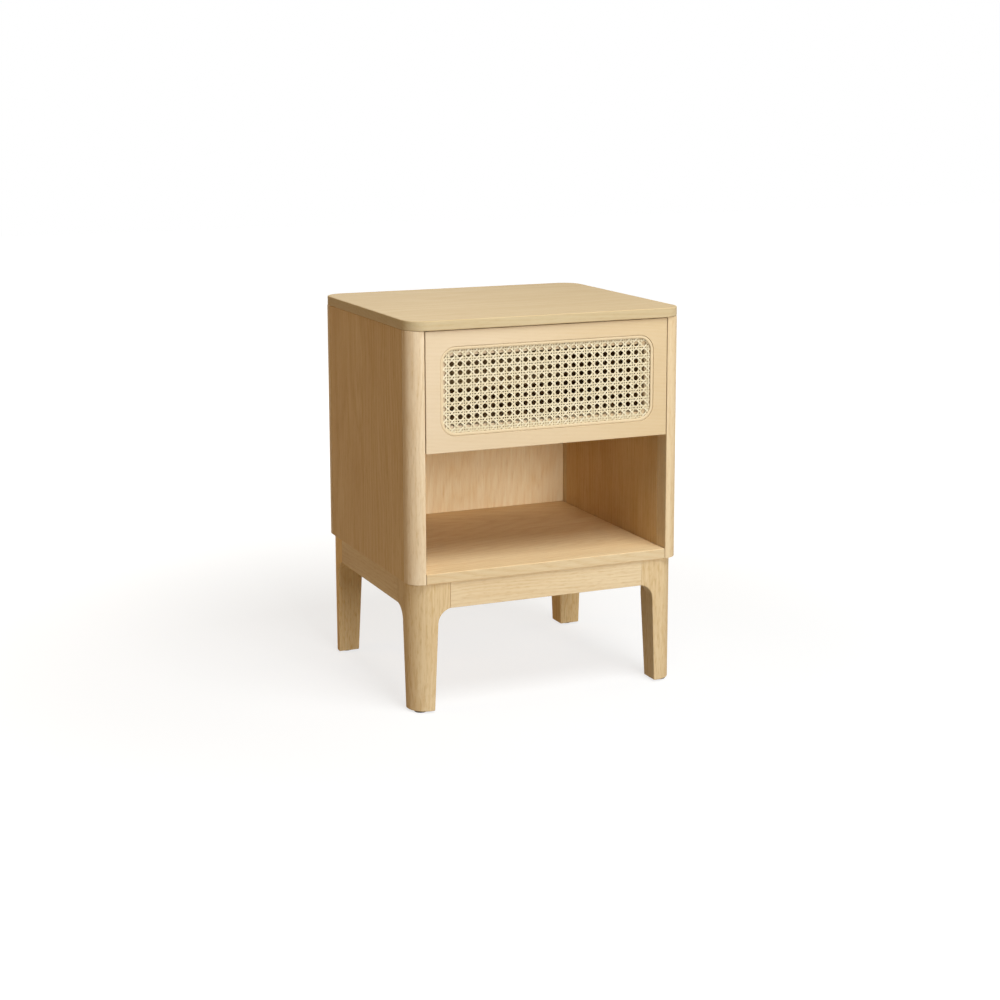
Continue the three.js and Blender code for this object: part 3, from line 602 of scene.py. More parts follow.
def tube(rings: np.ndarray, closed: bool = False) -> Part:
    """Skins a stack of rings: point j of ring i joins point j + 1 and both of their heirs in i + 1.

    Args:
        rings: (m, n, 3), each ring a closed loop.
        closed: whether the last ring joins the first; otherwise each end gets one flat face.

    Returns:
        The closed surface.
    """
    rows, count = rings.shape[:2]
    i, j = np.meshgrid(np.arange(rows if closed else rows - 1), np.arange(count), indexing="ij")
    here, there = i * count, (i + 1) % rows * count
    after = (j + 1) % count
    quads = np.stack([here + j, here + after, there + after, there + j], -1).reshape(-1, 4)
    ends = np.arange(count)
    caps = [] if closed else [ends[::-1].tolist(), (ends + (rows - 1) * count).tolist()]
    return Part(rings.reshape(-1, 3), quads, caps)


def joined(parts: Sequence[Part]) -> Part:
    """Several surfaces as one part."""
    shift = np.cumsum([0] + [len(part.points) for part in parts])
    return Part(
        np.concatenate([part.points for part in parts]),
        np.concatenate([part.quads + start for part, start in zip(parts, shift)]),
        [[int(start) + i for i in cap] for part, start in zip(parts, shift) for cap in part.caps],
    )


def eased_profile(low: float, high: float, arris: float) -> np.ndarray:
    """(inset, station) rows of a slab with eased edges.

    At each end the inset falls as arris (1 - sin a) while the station moves in by
    arris (1 - cos a), for a from nothing to a right angle, with a row held on either side.
    """
    angle = np.linspace(0, math.pi / 2, ARC_STEPS + 1)
    inset = np.concatenate([[arris + HOLD], arris * (1 - np.sin(angle)), [0.0]])
    rise = np.concatenate([[0.0], arris * (1 - np.cos(angle)), [arris + HOLD]])
    return np.concatenate([np.stack([inset, low + rise], 1), np.stack([inset, high - rise], 1)[::-1]])


def slab(shape: Outline, across: Across, low: float, high: float, arris: float) -> Part:
    """An outline carried from one station to another, its end edges eased."""
    profile = eased_profile(low, high, arris)
    return tube(np.stack([stand(shape.inset(inset), across, at) for inset, at in profile]))


def turned(profile: Sequence[Sequence[float]], steps: int) -> np.ndarray:
    """Rings about Z: each (radius, height) row becomes a circle."""
    angle = np.arange(steps) / steps * 2 * math.pi
    circle = np.stack([np.cos(angle), np.sin(angle)], 1)
    return np.stack([stand(circle * radius, Across.Z, height) for radius, height in profile])


def build(name: str, part: Part, sharp: float = SHARP) -> bpy.types.Object:
    """Makes a piece of a part.

    Its points are welded, its faces turned outwards, and the edges that turn sharply marked.

    Args:
        name: the piece's name.
        part: its surfaces, in millimetres.
        sharp: the angle past which an edge is drawn sharp.

    Returns:
        The object, at the origin.
    """
    mesh = bpy.data.meshes.new(name)
    mesh.from_pydata(part.points * MM, [], part.quads.tolist() + part.caps)
    shell = bmesh.new()
    shell.from_mesh(mesh)
    bmesh.ops.remove_doubles(shell, verts=shell.verts, dist=WELD)
    bmesh.ops.recalc_face_normals(shell, faces=shell.faces)
    shell.to_mesh(mesh)
    shell.free()
    mesh.shade_smooth()
    mesh.set_sharp_from_angle(angle=sharp)
    piece = bpy.data.objects.new(name, mesh)
    bpy.context.scene.collection.objects.link(piece)
    return piece


def carve(piece: bpy.types.Object, hollow: Part) -> None:
    """Takes a closed surface out of a piece."""
    tool = build("carving_tool", hollow)
    cut = piece.modifiers.new("carve", "BOOLEAN")
    cut.object = tool
    cut.solver = "EXACT"
    view = bpy.context.evaluated_depsgraph_get()
    mesh = bpy.data.meshes.new_from_object(piece.evaluated_get(view))
    piece.modifiers.clear()
    piece.data = mesh
    mesh.set_sharp_from_angle(angle=SHARP)
    bpy.data.objects.remove(tool)


def box_mm(node: str) -> tuple[np.ndarray, np.ndarray]:
    """Lowest and highest corner of a CAD node, in millimetres."""
    low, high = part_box(node)
    return np.array(low) / MM, np.array(high) / MM


def turn_out(part: Part, node: str, x: float, y: float) -> Part:
    """Turns a part whose outer corner is at the origin out to the outer corner of a CAD node.

    Args:
        part: the part, which is changed.
        node: the CAD node.
        x, y: which corner is outer: -1 for left or front, 1 for right or rear.

    Returns:
        The part.
    """
    low, high = box_mm(node)
    sign = np.array([x, y, -1.0])
    part.points = np.where(sign > 0, high, low) * (1, 1, 0) - sign * part.points
    return part


def settle(
    piece: bpy.types.Object, material: bpy.types.Material, body: str, slot: str, *stands_for: str
) -> None:
    """Gives a piece its material and its body, and hides the CAD nodes that it stands for."""
    piece.data.materials.clear()
    piece.data.materials.append(material)
    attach(piece, body)
    if stands_for:
        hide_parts(*stands_for)
    LOG.info("%s: %d faces on %s", piece.name, len(piece.data.polygons), body)


def tint(piece: bpy.types.Object, tones: np.ndarray) -> None:
    """Gives the points of a piece of cane their tones, in order."""
    attribute = piece.data.attributes.new("strand_tone", "FLOAT", "POINT")
    attribute.data.foreach_set("value", tones[: len(piece.data.vertices)].astype(np.float32))


@dataclass(frozen=True)
class Board:
    """A plain board that fills a CAD node's box, with all its edges eased.

    Attributes:
        node: the CAD node.
        finish: its wood.
        grain: the way its fibres run.
        slot: the record's material slot.
        seed: picks its place in the tree.
        body: the CAD body that it rides on.
        arris: radius of its eased edges.
        trim_low, trim_high: millimetres of tongue left off at each face, where they are hidden.
    """

    node: str
    finish: OakFinish
    grain: Grain
    slot: str
    seed: int
    body: str = "carcass"
    arris: float = 0.8
    trim_low: tuple[float, float, float] = (0.0, 0.0, 0.0)
    trim_high: tuple[float, float, float] = (0.0, 0.0, 0.0)

    def make(self) -> None:
        """Builds the board along its grain and dresses it."""
        low, high = box_mm(self.node)
        low = low + self.trim_low
        high = high - self.trim_high
        across = Across[self.grain.name]
        u, v = (axis for axis in range(3) if axis != across.value)
        shape = rectangle(low[[u, v]], high[[u, v]], self.arris + HOLD)
        part = slab(shape, across, low[across.value], high[across.value], self.arris)
        material = self.finish.material(self.node, self.grain, self.seed)
        settle(build(f"{self.node}_board", part), material, self.body, self.slot, self.node)


# ---- carcass


@dataclass
class Carcass:
    """The cabinet: top, side panels tongued into round-cornered posts, floor, divider and back.

    Attributes:
        top_corner: plan radius of the top's corners.
        top_arris: eased edge of the top.
        corner: plan radius of the posts' outer corners.
        post: width of a post across the front, and along the side.
        edge: eased edges of the posts and panels.
        tongue: thickness and length of a side panel's tongue.
        gap: between pieces that seat on each other.
        housing: how far the boards are let into the side panels.
        groove: how far the back is let into its grooves.
    """

    top_corner: float = 32.0
    top_arris: float = 1.5
    corner: float = 25.0
    post: tuple[float, float] = (25.0, 30.0)
    edge: float = 0.7
    tongue: tuple[float, float] = (8.0, 7.0)
    gap: float = 0.3
    housing: float = 6.0
    groove: float = 6.0

    def top(self) -> None:
        """The top panel: a rounded rectangle with softly eased edges."""
        low, high = box_mm("top_panel")
        shape = rectangle(low[:2], high[:2], self.top_corner, ROUND_STEPS)
        piece = build("top_panel_oak", slab(shape, Across.Z, low[2], high[2], self.top_arris))
        settle(piece, TOP_VENEER.material("top_panel", Grain.X, 11), "carcass", "oak_veneer", "top_panel")

    def posts(self) -> None:
        """The four posts: a quarter round outside, and a groove for the side panel's tongue."""
        width, depth = self.post
        half = self.tongue[0] / 2 + self.gap
        floor = depth - self.tongue[1] - self.gap
        left, right = width / 2 - half, width / 2 + half
        corners = [
            (0, 0), (width, 0), (width, depth), (right, depth), (right, floor), (left, floor),
            (left, depth), (0, depth),
        ]
        rounding = self.edge + HOLD
        radii = [self.corner - rounding - HOLD, rounding, rounding, self.edge, 0, 0, self.edge, rounding]
        shape = outline(corners, radii, [ROUND_STEPS] + [ARC_STEPS] * 7)
        for (corner, x, y), seed in zip(CORNERS, (40, 41, 37, 38)):
            node = f"{corner}_post"
            low, high = box_mm(node)
            part = turn_out(slab(shape, Across.Z, low[2], high[2], self.edge), node, x, y)
            finish = (PALE_OAK if x < 0 else SOLID_OAK).material(node, Grain.Z, seed)
            settle(build(f"{node}_oak", part), finish, "carcass", "solid_oak", node)

    def sides(self) -> None:
        """The side panels, each with a tongue along both upright edges."""
        edge, rounding = self.edge, self.edge + HOLD
        for side, sign in SIDES:
            node = f"{side}_side_panel"
            low, high = box_mm(node)
            front, back = low[1] + self.tongue[1], high[1] - self.tongue[1]
            inner, outer = (low[0] + high[0]) / 2 + np.array([-0.5, 0.5]) * self.tongue[0]
            corners = [
                (low[0], front), (inner, front), (inner, low[1]), (outer, low[1]), (outer, front),
                (high[0], front), (high[0], back), (outer, back), (outer, high[1]),
                (inner, high[1]), (inner, back), (low[0], back),
            ]
            radii = [rounding, 0, edge, edge, 0, rounding] * 2
            part = slab(outline(corners, radii), Across.Z, low[2], high[2], edge)
            finish = VENEER.material(node, Grain.Z, 41 + int(sign))
            settle(build(f"{node}_oak", part), finish, "carcass", "oak_veneer", node)

    def boards(self) -> None:
        """The floor, the divider, the back and the two rails."""
        housed = (self.housing + self.gap, 0, 0)
        let_in = self.groove + self.gap
        for board in (
            Board("bottom_panel", FLOOR_VENEER, Grain.X, "oak_veneer", 51, trim_low=housed, trim_high=housed),
            Board("divider_panel", VENEER, Grain.X, "oak_veneer", 52, trim_low=housed, trim_high=housed),
            Board(
                "back_panel", BACK_VENEER, Grain.Z, "oak_veneer", 55, "carcass", 0.3,
                (let_in, 0, let_in), (let_in, 0, 0),
            ),
            Board("top_front_rail", BOX_WOOD, Grain.X, "box_wood", 54),
            Board("top_rear_rail", BOX_WOOD, Grain.X, "box_wood", 56),
        ):
            board.make()

    def build(self) -> None:
        """Makes every piece of the cabinet."""
        self.top()
        self.posts()
        self.sides()
        self.boards()


# ---- base frame


@dataclass
class Base:
    """The base frame, its joints glued up tight: tapered legs whose shoulders flare into four aprons.

    Attributes:
        corner: plan radius of a leg's outer corner.
        leg: width of a leg, each way, under its shoulders.
        shoulder: from a leg's outer face to its joint with an apron.
        thickness: of the aprons and the shoulders.
        apron: height of the aprons.
        fillet: radius of the flare.
        outer_taper: lost from an outer face at the foot.
        inner_taper: lost from an inner face at the foot.
        edge: rounding of a leg's upright edges and its foot.
        foot: height of the foot above the floor.
        close: the clearance that glue fills at an apron's ends, and that is left over a glide.
        rim: rounding of a glide's pad.
        nail: radius of a glide's nail, and length of its point.
        fillet_steps: rows of points down the flare.
    """

    corner: float = 35.0
    leg: float = 42.0
    shoulder: float = 62.0
    thickness: float = 22.0
    apron: float = 40.0
    fillet: float = 25.0
    outer_taper: float = 1.8
    inner_taper: float = 5.5
    edge: float = 1.2
    foot: float = 3.0
    close: float = 0.3
    rim: float = 0.9
    nail: float = 2.0
    fillet_steps: int = 18

    def section(self, arm: float) -> Outline:
        """Plan of a leg where its two shoulders reach out by `arm`: an L, or a square at no reach.

        Args:
            arm: from the outer faces to the end of each shoulder.

        Returns:
            The outline, its outer corner at the origin.
        """
        leg, thick = self.leg, self.thickness
        rounding = self.edge + HOLD
        tip = min(rounding, max(arm - leg, 0) / 2)
        corners = [
            (0, 0), (arm, 0), (arm, thick), (leg, thick), (leg, leg), (thick, leg), (thick, arm), (0, arm),
        ]
        radii = [self.corner, rounding, tip, 0, rounding, 0, tip, rounding]
        ways = [(1, 0), (0, 1), (-1, 0), (0, 1), (-1, 0), (0, -1 if arm < leg else 1), (-1, 0), (0, -1)]
        return outline(corners, radii, [ROUND_STEPS] + [ARC_STEPS] * 7, ways)

    def leg_part(self, top: float) -> Part:
        """A leg with its outer corner at the origin.

        Plans are stacked from the foot to the top. Down the flare the shoulders' reach is the
        fillet's circle, centre reach minus sqrt(r r - rise rise); below it each plan coordinate c
        moves by share times (outer taper (1 - c / leg) - inner taper c / leg), where share grows
        evenly from the flare to the foot.
        """
        centre = self.leg + self.fillet
        end = math.sqrt(self.fillet**2 - (centre - self.shoulder) ** 2)
        flare_foot = top - self.apron - end
        turn = np.linspace(0, 1, self.fillet_steps + 1) * math.asin(end / self.fillet)
        rises = self.fillet * np.sin(turn)
        arms = centre - self.fillet * np.cos(turn)
        profile = eased_profile(self.foot, top, self.edge)
        half = len(profile) // 2
        rows = [(inset, z, self.leg) for inset, z in profile[:half]]
        rows += [(0.0, flare_foot - HOLD, self.leg)]
        rows += [(0.0, flare_foot + rise, arm) for rise, arm in zip(rises, arms)]
        rows += [(inset, z, self.shoulder) for inset, z in profile[half:]]
        rings = []
        for inset, z, arm in rows:
            plan = self.section(max(arm, self.leg)).inset(inset)
            share = max(0.0, (flare_foot - z) / (flare_foot - self.foot))
            part_way = plan / self.leg
            plan = plan + share * (self.outer_taper * (1 - part_way) - self.inner_taper * part_way)
            rings.append(stand(plan, Across.Z, z))
        return tube(np.stack(rings))

    def legs(self) -> None:
        """The four legs, each turned the right way about its own corner."""
        for (corner, x, y), seed in zip(CORNERS, (60, 62, 62, 64)):
            node = f"{corner}_leg"
            part = turn_out(self.leg_part(box_mm(node)[1][2]), node, x, y)
            # The rear legs take the paler copy of the oak, which paints light on them.
            finish = (LEG_OAK if y < 0 else REAR_LEG_PAINTED_LIGHT_OAK).material(node, Grain.Z, seed)
            settle(build(f"{node}_oak", part), finish, "carcass", "solid_oak", node)

    def aprons(self) -> None:
        """The aprons."""
        across, along = (-self.close, 0.0, 0.0), (0.0, -self.close, 0.0)
        for side, grain, trim, seed in (
            ("front", Grain.X, across, 71), ("rear", Grain.X, across, 72),
            ("left", Grain.Y, along, 73), ("right", Grain.Y, along, 74),
        ):
            Board(f"{side}_apron", SOLID_OAK, grain, "solid_oak", seed, "carcass", 0.2, trim, trim).make()

    def corner_blocks(self) -> None:
        """The CAD's corner blocks keep their shape and get sanded hardwood."""
        for (corner, _, _), seed in zip(CORNERS, (79, 81, 81, 83)):
            node = f"{corner}_corner_block"
            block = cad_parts[node].data.materials
            block.clear()
            block.append(BOX_WOOD.material(node, Grain.Z, seed))

    def glides(self) -> None:
        """The glides: a domed pad with a rounded rim, and its nail."""
        for corner, _, _ in CORNERS:
            node = f"{corner}_foot_glide"
            low, high = box_mm(node)
            pad = (high[0] - low[0]) / 2
            thick = self.foot - self.close
            angle = np.linspace(-math.pi / 2, math.pi / 2, 9)
            rim = np.stack([pad - self.rim * (1 - np.cos(angle)), self.rim * (1 + np.sin(angle))], 1)
            rim[5:, 1] += thick - 2 * self.rim
            nail = [(self.nail, thick), (self.nail, high[2] - self.nail), (TIP, high[2])]
            part = tube(turned([(TIP, 0.0), (pad - 2.0, 0.0), *rim, *nail], 40))
            part.points += [*((low + high) / 2)[:2], 0.0]
            settle(build(f"{node}_nylon", part), NYLON.material(node), "carcass", "glide_plastic", node)

    def build(self) -> None:
        """Makes every piece of the base frame."""
        self.legs()
        self.aprons()
        self.corner_blocks()
        self.glides()


# ---- drawer


@dataclass
class CanePanel:
    """The cane panel in the drawer front: woven webbing under a round-nosed bead.

    Attributes:
        pitch: eye to eye.
        strand: width of a strand.
        pair_gap: between the two strands of a pair.
        thickness: of a strand.
        pair_lift: how far a strand of a pair goes over and under.
        diagonal_lift: how far a diagonal goes over and under.
        corner: corner radius outside the bead.
        shift: from the panel's middle to the nearest eye's.
        bead: width of the bead.
        nose: height of the bead's round nose.
        margin: how far the bead reaches over and under the clamped edge.
        sunk: how much deeper the strands lie than the plain sheet.
        seat: how much deeper the bead lies than the plain one.
        sample: millimetres between points along a strand.
        sides: of a strand's section.
        inside: from the clamped edge to the strands' ends, along it and off the corner's radius.
        least: length of the shortest strand that is kept.
        stray: how far strands lie off their lines: at random, and waving.
        wave: length of that wave, over a turn of one radian.
        spread: how much the strands' widths differ, as a share.
        tan: tone of the brownest strand, and of the bead.
    """

    pitch: float = 13.3
    strand: float = 1.9
    pair_gap: float = 1.8
    thickness: float = 0.42
    pair_lift: float = 0.2
    diagonal_lift: float = 0.48
    corner: float = 25.0
    shift: tuple[float, float] = (2.2, 0.8)
    bead: float = 4.4
    nose: float = 0.9
    margin: float = 2.0
    sunk: float = 1.3
    seat: float = 1.2
    sample: float = 1.66
    sides: int = 8
    inside: tuple[float, float] = (0.5, 1.8)
    least: float = 4.0
    stray: tuple[float, float] = (0.07, 0.1)
    wave: float = 43.0
    spread: float = 0.035
    tan: tuple[float, float] = (0.38, 0.12)

    def spans(self, middle: np.ndarray, way: np.ndarray) -> np.ndarray:
        """Where each of many lines enters and leaves the rounded outline of the webbing.

        A point is inside where its distance past the corner circles' centres, measured only the
        ways that it is past them, is under the corner radius.

        Args:
            middle: (k, 2) a point on each line.
            way: (k, 2) each line's unit direction.

        Returns:
            (k, 2) the least and greatest distance along each line, equal where it misses.
        """
        low, high = box_mm("cane_webbing")
        half = (high - low)[[0, 2]] / 2 - self.inside[0]
        radius = self.corner - self.inside[1]
        along = np.arange(-half.sum() * 2, half.sum() * 2, 0.2)
        point = np.abs(middle[:, None] + way[:, None] * along[None, :, None])
        inside = np.hypot(*np.maximum(point - (half - radius), 0).transpose(2, 0, 1)) < radius
        inside &= (point < half).all(-1)
        ends = [along[inside.argmax(1)], along[len(along) - 1 - inside[:, ::-1].argmax(1)]]
        return np.stack([np.where(inside.any(1), end, 0) for end in ends], 1)

    def pair_wave(self, turn: np.ndarray) -> np.ndarray:
        """How far over or under a strand of a pair is, along it.

        `turn` is in pitches, whole at the crossings of pairs. Between the two strands that it
        crosses there it goes from under to over as a sine, and back over the rest as a cosine.
        """
        apart = (self.strand + self.pair_gap) / 2 / self.pitch
        off = turn - np.round(turn)
        near = np.sin(np.clip(off / apart, -1, 1) * math.pi / 2)
        far = np.cos(math.pi * np.clip((np.abs(off) - apart) / (1 - 2 * apart), 0, 1)) * np.sign(off)
        return np.where(np.abs(off) < apart, near, far)

    def diagonal_wave(self, turn: np.ndarray) -> np.ndarray:
        """How far over or under a diagonal is: a cosine flattened so that it dwells on each side."""
        return np.tanh(2.5 * np.cos(2 * math.pi * turn)) / math.tanh(2.5)

    def family(
        self,
        name: str,
        middle: np.ndarray,
        lifts: np.ndarray,
        wave: Callable[[np.ndarray], np.ndarray],
        axis: int,
        finish: CaneFinish,
        grain: Grain,
        seed: int,
        *stands_for: str,
    ) -> None:
        """Weaves the strands that run one way.

        A strand's section is an ellipse, width by thickness; its centre follows a straight line
        and moves out and in by the lift. Widths and places differ by a few hundredths.

        Args:
            name: the piece's name.
            middle: (k, 2) a point on each strand, from the middle eye.
            lifts: (k,) how far each strand goes over and under.
            wave: how far over or under it is at a place, in pitches.
            axis: which of the place's two numbers the wave follows.
            finish: of the strands.
            grain: the way that they run.
            seed: for the differences between strands.
            stands_for: CAD nodes that this piece stands for.
        """
        random = np.random.default_rng(seed)
        low, high = box_mm("cane_webbing")
        way = {Grain.X: (1, 0), Grain.Z: (0, 1), Grain.FALLING: (1, -1), Grain.RISING: (1, 1)}[grain]
        middle = middle + self.shift
        direction = np.tile(np.array(way) / np.hypot(*way), (len(middle), 1))
        span = self.spans(middle, direction)
        keep = span[:, 1] - span[:, 0] > self.least
        middle, direction, span, lifts = middle[keep], direction[keep], span[keep], lifts[keep]
        samples = int((span[:, 1] - span[:, 0]).max() / self.sample) + 2
        along = span[:, :1] + (span[:, 1:] - span[:, :1]) * np.linspace(0, 1, samples)
        across = np.stack([-direction[:, 1], direction[:, 0]], 1)
        drift = random.normal(0, self.stray[0], (len(middle), 1))
        start = random.uniform(0, 2 * math.pi, (len(middle), 1))
        drift = drift + self.stray[1] * np.sin(along / self.wave + start)
        line = middle[:, None] + direction[:, None] * along[..., None] + across[:, None] * drift[..., None]
        out = lifts[:, None] * wave(((line - self.shift) / self.pitch + 0.5)[..., axis])
        widths = self.strand * random.normal(1.0, self.spread, (len(middle), 1, 1))
        half_side = math.pi / self.sides
        angle = np.arange(self.sides) * 2 * half_side + half_side
        side = widths / 2 * np.cos(angle) / math.cos(half_side)
        rings = np.empty((*line.shape[:2], self.sides, 3))
        rings[..., ::2] = line[..., None, :] + across[:, None, None] * side[..., None]
        rings[..., 1] = -out[..., None] - self.thickness / 2 * np.sin(angle)
        rings += (low + high) / 2 + [0.0, self.sunk, 0.0]
        piece = build(name, joined([tube(strand) for strand in rings]), math.radians(75))
        tint(piece, np.repeat(random.uniform(0.0, self.tan[0], len(middle)), samples * self.sides))
        settle(piece, finish.material(name, grain), "drawer", "cane", *stands_for)

    def webbing(self) -> None:
        """Upright and level pairs in plain weave, and diagonals over one pair and under the other."""
        low, high = box_mm("cane_webbing")
        columns = (np.arange(-20, 20) + 0.5) * self.pitch
        side = np.tile([-1.0, 1.0], len(columns))
        offsets = np.repeat(columns, 2) + side * (self.strand + self.pair_gap) / 2
        none = np.zeros_like(offsets)
        lifts = self.pair_lift * side
        pair, diagonal = self.pair_wave, self.diagonal_wave
        upright, level = np.stack([offsets, none], 1), np.stack([none, offsets], 1)
        self.family("cane_uprights", upright, lifts, pair, 1, CANE, Grain.Z, 5, "cane_webbing")
        self.family("cane_levels", level, -lifts, pair, 0, CANE, Grain.X, 6)
        steps = np.arange(-30, 30) * self.pitch + self.pitch / 2
        steps = steps[np.abs(steps) < (high - low)[[0, 2]].sum() / 2] / 2
        down, up = np.stack([steps, steps], 1), np.stack([steps, -steps], 1)
        lifts = np.full(len(steps), self.diagonal_lift)
        self.family("cane_falling", down, lifts, diagonal, 0, CANE_LIGHT, Grain.FALLING, 7)
        self.family("cane_rising", up, -lifts, diagonal, 0, CANE_LIGHT, Grain.RISING, 8)

    def bead_ring(self) -> None:
        """The bead: a round-nosed section carried round the outline by insetting it.

        From its outer edge to its inner one the inset grows as half the width (1 - cos t), while
        the nose stands out as sin t, for t from nothing to half a turn.
        """
        low, high = box_mm("cane_bead")
        grown = np.array([0.0, self.margin])
        shape = rectangle(low[[0, 2]] - grown, high[[0, 2]] + grown, self.corner - 0.3, ROUND_STEPS)
        foot = high[1] + self.sunk
        rows = [(0.15, foot), (0.0, foot - 0.15)]
        for turn in np.linspace(0, math.pi, 13):
            nose = self.nose * (1 - np.sin(turn) ** 0.8)
            rows.append((self.bead / 2 * (1 - np.cos(turn)), low[1] + self.seat + nose))
        rows += [(self.bead, foot - 0.15), (self.bead - 0.15, foot)]
        rings = np.stack([stand(shape.inset(inset), Across.Y, at) for inset, at in rows])
        piece = build("cane_bead_reed", tube(rings, closed=True))
        tint(piece, np.full(len(piece.data.vertices), self.tan[1]))
        settle(piece, REED.material("cane_bead", Grain.X), "drawer", "reed", "cane_bead")


@dataclass
class Drawer:
    """The drawer: a front routed through for the cane, and a box behind it.

    Attributes:
        cane: the panel in the front.
        seat: the front's edges to the bead's recess, at the sides and above and below.
        rebate: depth of the recess, where the bead clamps the cane.
        clamp: width of the ledge at that depth.
        relief: depth inside it, so that the strands stay clear of the wood.
        ledge: width of both steps beside the window and above and below it.
        lip: rounding of the recess's and the window's edges.
        arris: eased outer edges of the front.
        pull: length and radius of the finger hollow.
        groove: how far the bottom is let into the box.
        cam: diameter of the fittings that hold the sides to the front.
        cam_at: how far up a side each is, as a share of its height.
        cam_back: from a side's front end to their middles.
        proud: how far their domes stand out.
    """

    cane: CanePanel = field(default_factory=CanePanel)
    seat: tuple[float, float] = (23.0, 24.0)
    rebate: float = 4.5
    clamp: float = 4.4
    relief: float = 6.2
    ledge: tuple[float, float] = (13.0, 14.5)
    lip: float = 0.5
    arris: float = 0.6
    pull: tuple[float, float] = (220.0, 11.0)
    groove: float = 6.3
    cam: float = 15.0
    cam_at: tuple[float, float] = (0.3, 0.75)
    cam_back: float = 24.0
    proud: float = 0.35

    def front(self) -> None:
        """The front: rounded rectangles joined in turn round its back, face, recess, ledge and window."""
        low, high = box_mm("drawer_front")
        face, back, lip = low[1], high[1], self.lip
        low_at, high_at = low[[0, 2]], high[[0, 2]]
        outer = rectangle(low_at, high_at, self.arris + HOLD, ROUND_STEPS)
        low_at, high_at = low_at + self.seat, high_at - self.seat
        recess = rectangle(low_at, high_at, self.cane.corner, ROUND_STEPS)
        radius = self.cane.corner - self.ledge[1]
        window = rectangle(low_at + self.ledge, high_at - self.ledge, radius, ROUND_STEPS)
        clamp, step, ledge = face + self.rebate, face + self.relief, self.clamp
        rows = [(outer, inset, at) for inset, at in eased_profile(face, back, self.arris)[::-1]]
        rows += [(recess, -lip - HOLD, face)]
        for angle in np.linspace(0, math.pi / 2, ARC_STEPS + 1):
            rows.append((recess, -lip * (1 - math.sin(angle)), face + lip * (1 - math.cos(angle))))
        inside = (
            (0.0, clamp - HOLD), (0.0, clamp), (HOLD, clamp), (ledge - HOLD, clamp), (ledge, clamp),
            (ledge, step - HOLD), (ledge, step),
        )
        through = (
            (-HOLD - lip, step), (-lip, step), (0.0, step + lip), (0.0, step + lip + HOLD),
            (0.0, back - lip - HOLD), (0.0, back - lip), (-lip, back), (-lip - HOLD, back),
        )
        rows += [(recess, *row) for row in inside] + [(window, *row) for row in through]
        rings = np.stack([stand(shape.inset(inset), Across.Y, at) for shape, inset, at in rows])
        piece = build("drawer_front_oak", tube(rings, closed=True))
        length, radius = self.pull
        ends = (-length / 2, low[2] - radius), (length / 2, low[2] + radius)
        hollow = rectangle(*ends, radius - 0.01, ROUND_STEPS)
        carve(piece, slab(hollow, Across.Y, back - radius, back + radius, 0.5))
        finish = DRAWER_OAK.material("drawer_front", Grain.X, 91)
        settle(piece, finish, "drawer", "drawer_front_oak", "drawer_front")

    def box(self) -> None:
        """The sides, the back and the bottom, with round-edged upper rims."""
        groove, none = self.groove, (0.0, 0.0, 0.0)
        let_in = (groove, groove, 0), (groove, 0, 0)
        for name, grain, seed, arris, trims in (
            ("left_side", Grain.Y, 92, 1.5, (none, none)), ("right_side", Grain.Y, 93, 1.5, (none, none)),
            ("back", Grain.X, 94, 1.5, (none, none)), ("bottom", Grain.Y, 95, 0.3, let_in),
        ):
            Board(f"drawer_{name}", BOX_WOOD, grain, "box_wood", seed, "drawer", arris, *trims).make()

    def cams(self) -> None:
        """The cam fittings let into the sides' inner faces near the front, each with a cross slot."""
        low, high = box_mm("drawer_left_side")
        for side, sign in SIDES:
            parts = []
            for share in self.cam_at:
                disc = cross_head(self.cam / 2, self.proud, 3.0)
                centre = [sign * (abs(high[0]) - self.proud), low[1] + self.cam_back]
                disc.points = disc.points[:, [2, 0, 1]] * (-sign, 1, 1)
                disc.points += [*centre, low[2] + share * (high[2] - low[2])]
                parts.append(disc)
            piece = build(f"drawer_{side}_cams", joined(parts))
            settle(piece, ZINC.material(f"{side}_cams", Grain.Y), "drawer", "zinc_steel")

    def build(self) -> None:
        """Makes every piece of the drawer."""
        self.front()
        self.cane.webbing()
        self.cane.bead_ring()
        self.box()
        self.cams()


# ---- runners and screws


def cross_head(radius: float, dome: float, depth: float, tail: float = 0.0, shank: float = 0.0) -> Part:
    """A round head about Z, facing +Z, with a cross slot.

    The face is a grid of circles: its height is dome (1 - (r / radius) squared), less the slot's
    depth where the point is nearer to either of two crossed lines than the slot's half width,
    fading out towards the rim. A shank may follow below.

    Args:
        radius: of the head.
        dome: height of the dome over the rim.
        depth: of the rim below the dome.
        tail: length of the shank.
        shank: its radius.

    Returns:
        The closed surface, the rim's top at height 0.
    """
    steps = 48
    share = np.linspace(0.04, 0.9, 12)[:, None]
    face = turned([(radius * at, dome * (1 - at**2)) for at in share[:, 0]], steps)
    half = radius * 0.15
    near = np.abs(face[..., :2]).min(-1)
    slot = np.clip((half - near) / (half * 0.5), 0, 1) * np.clip((0.62 - share) / 0.1, 0, 1)
    face[..., 2] -= slot * radius * 0.35
    rows = [(radius * 0.97, dome * 0.1), (radius, -dome * 0.2), (radius, -depth)]
    if tail:
        rows += [(shank, -depth), (shank, -depth - tail + shank), (0.2, -depth - tail)]
    else:
        rows += [(radius * 0.2, -depth)]
    return tube(np.concatenate([face, turned(rows, steps)]))


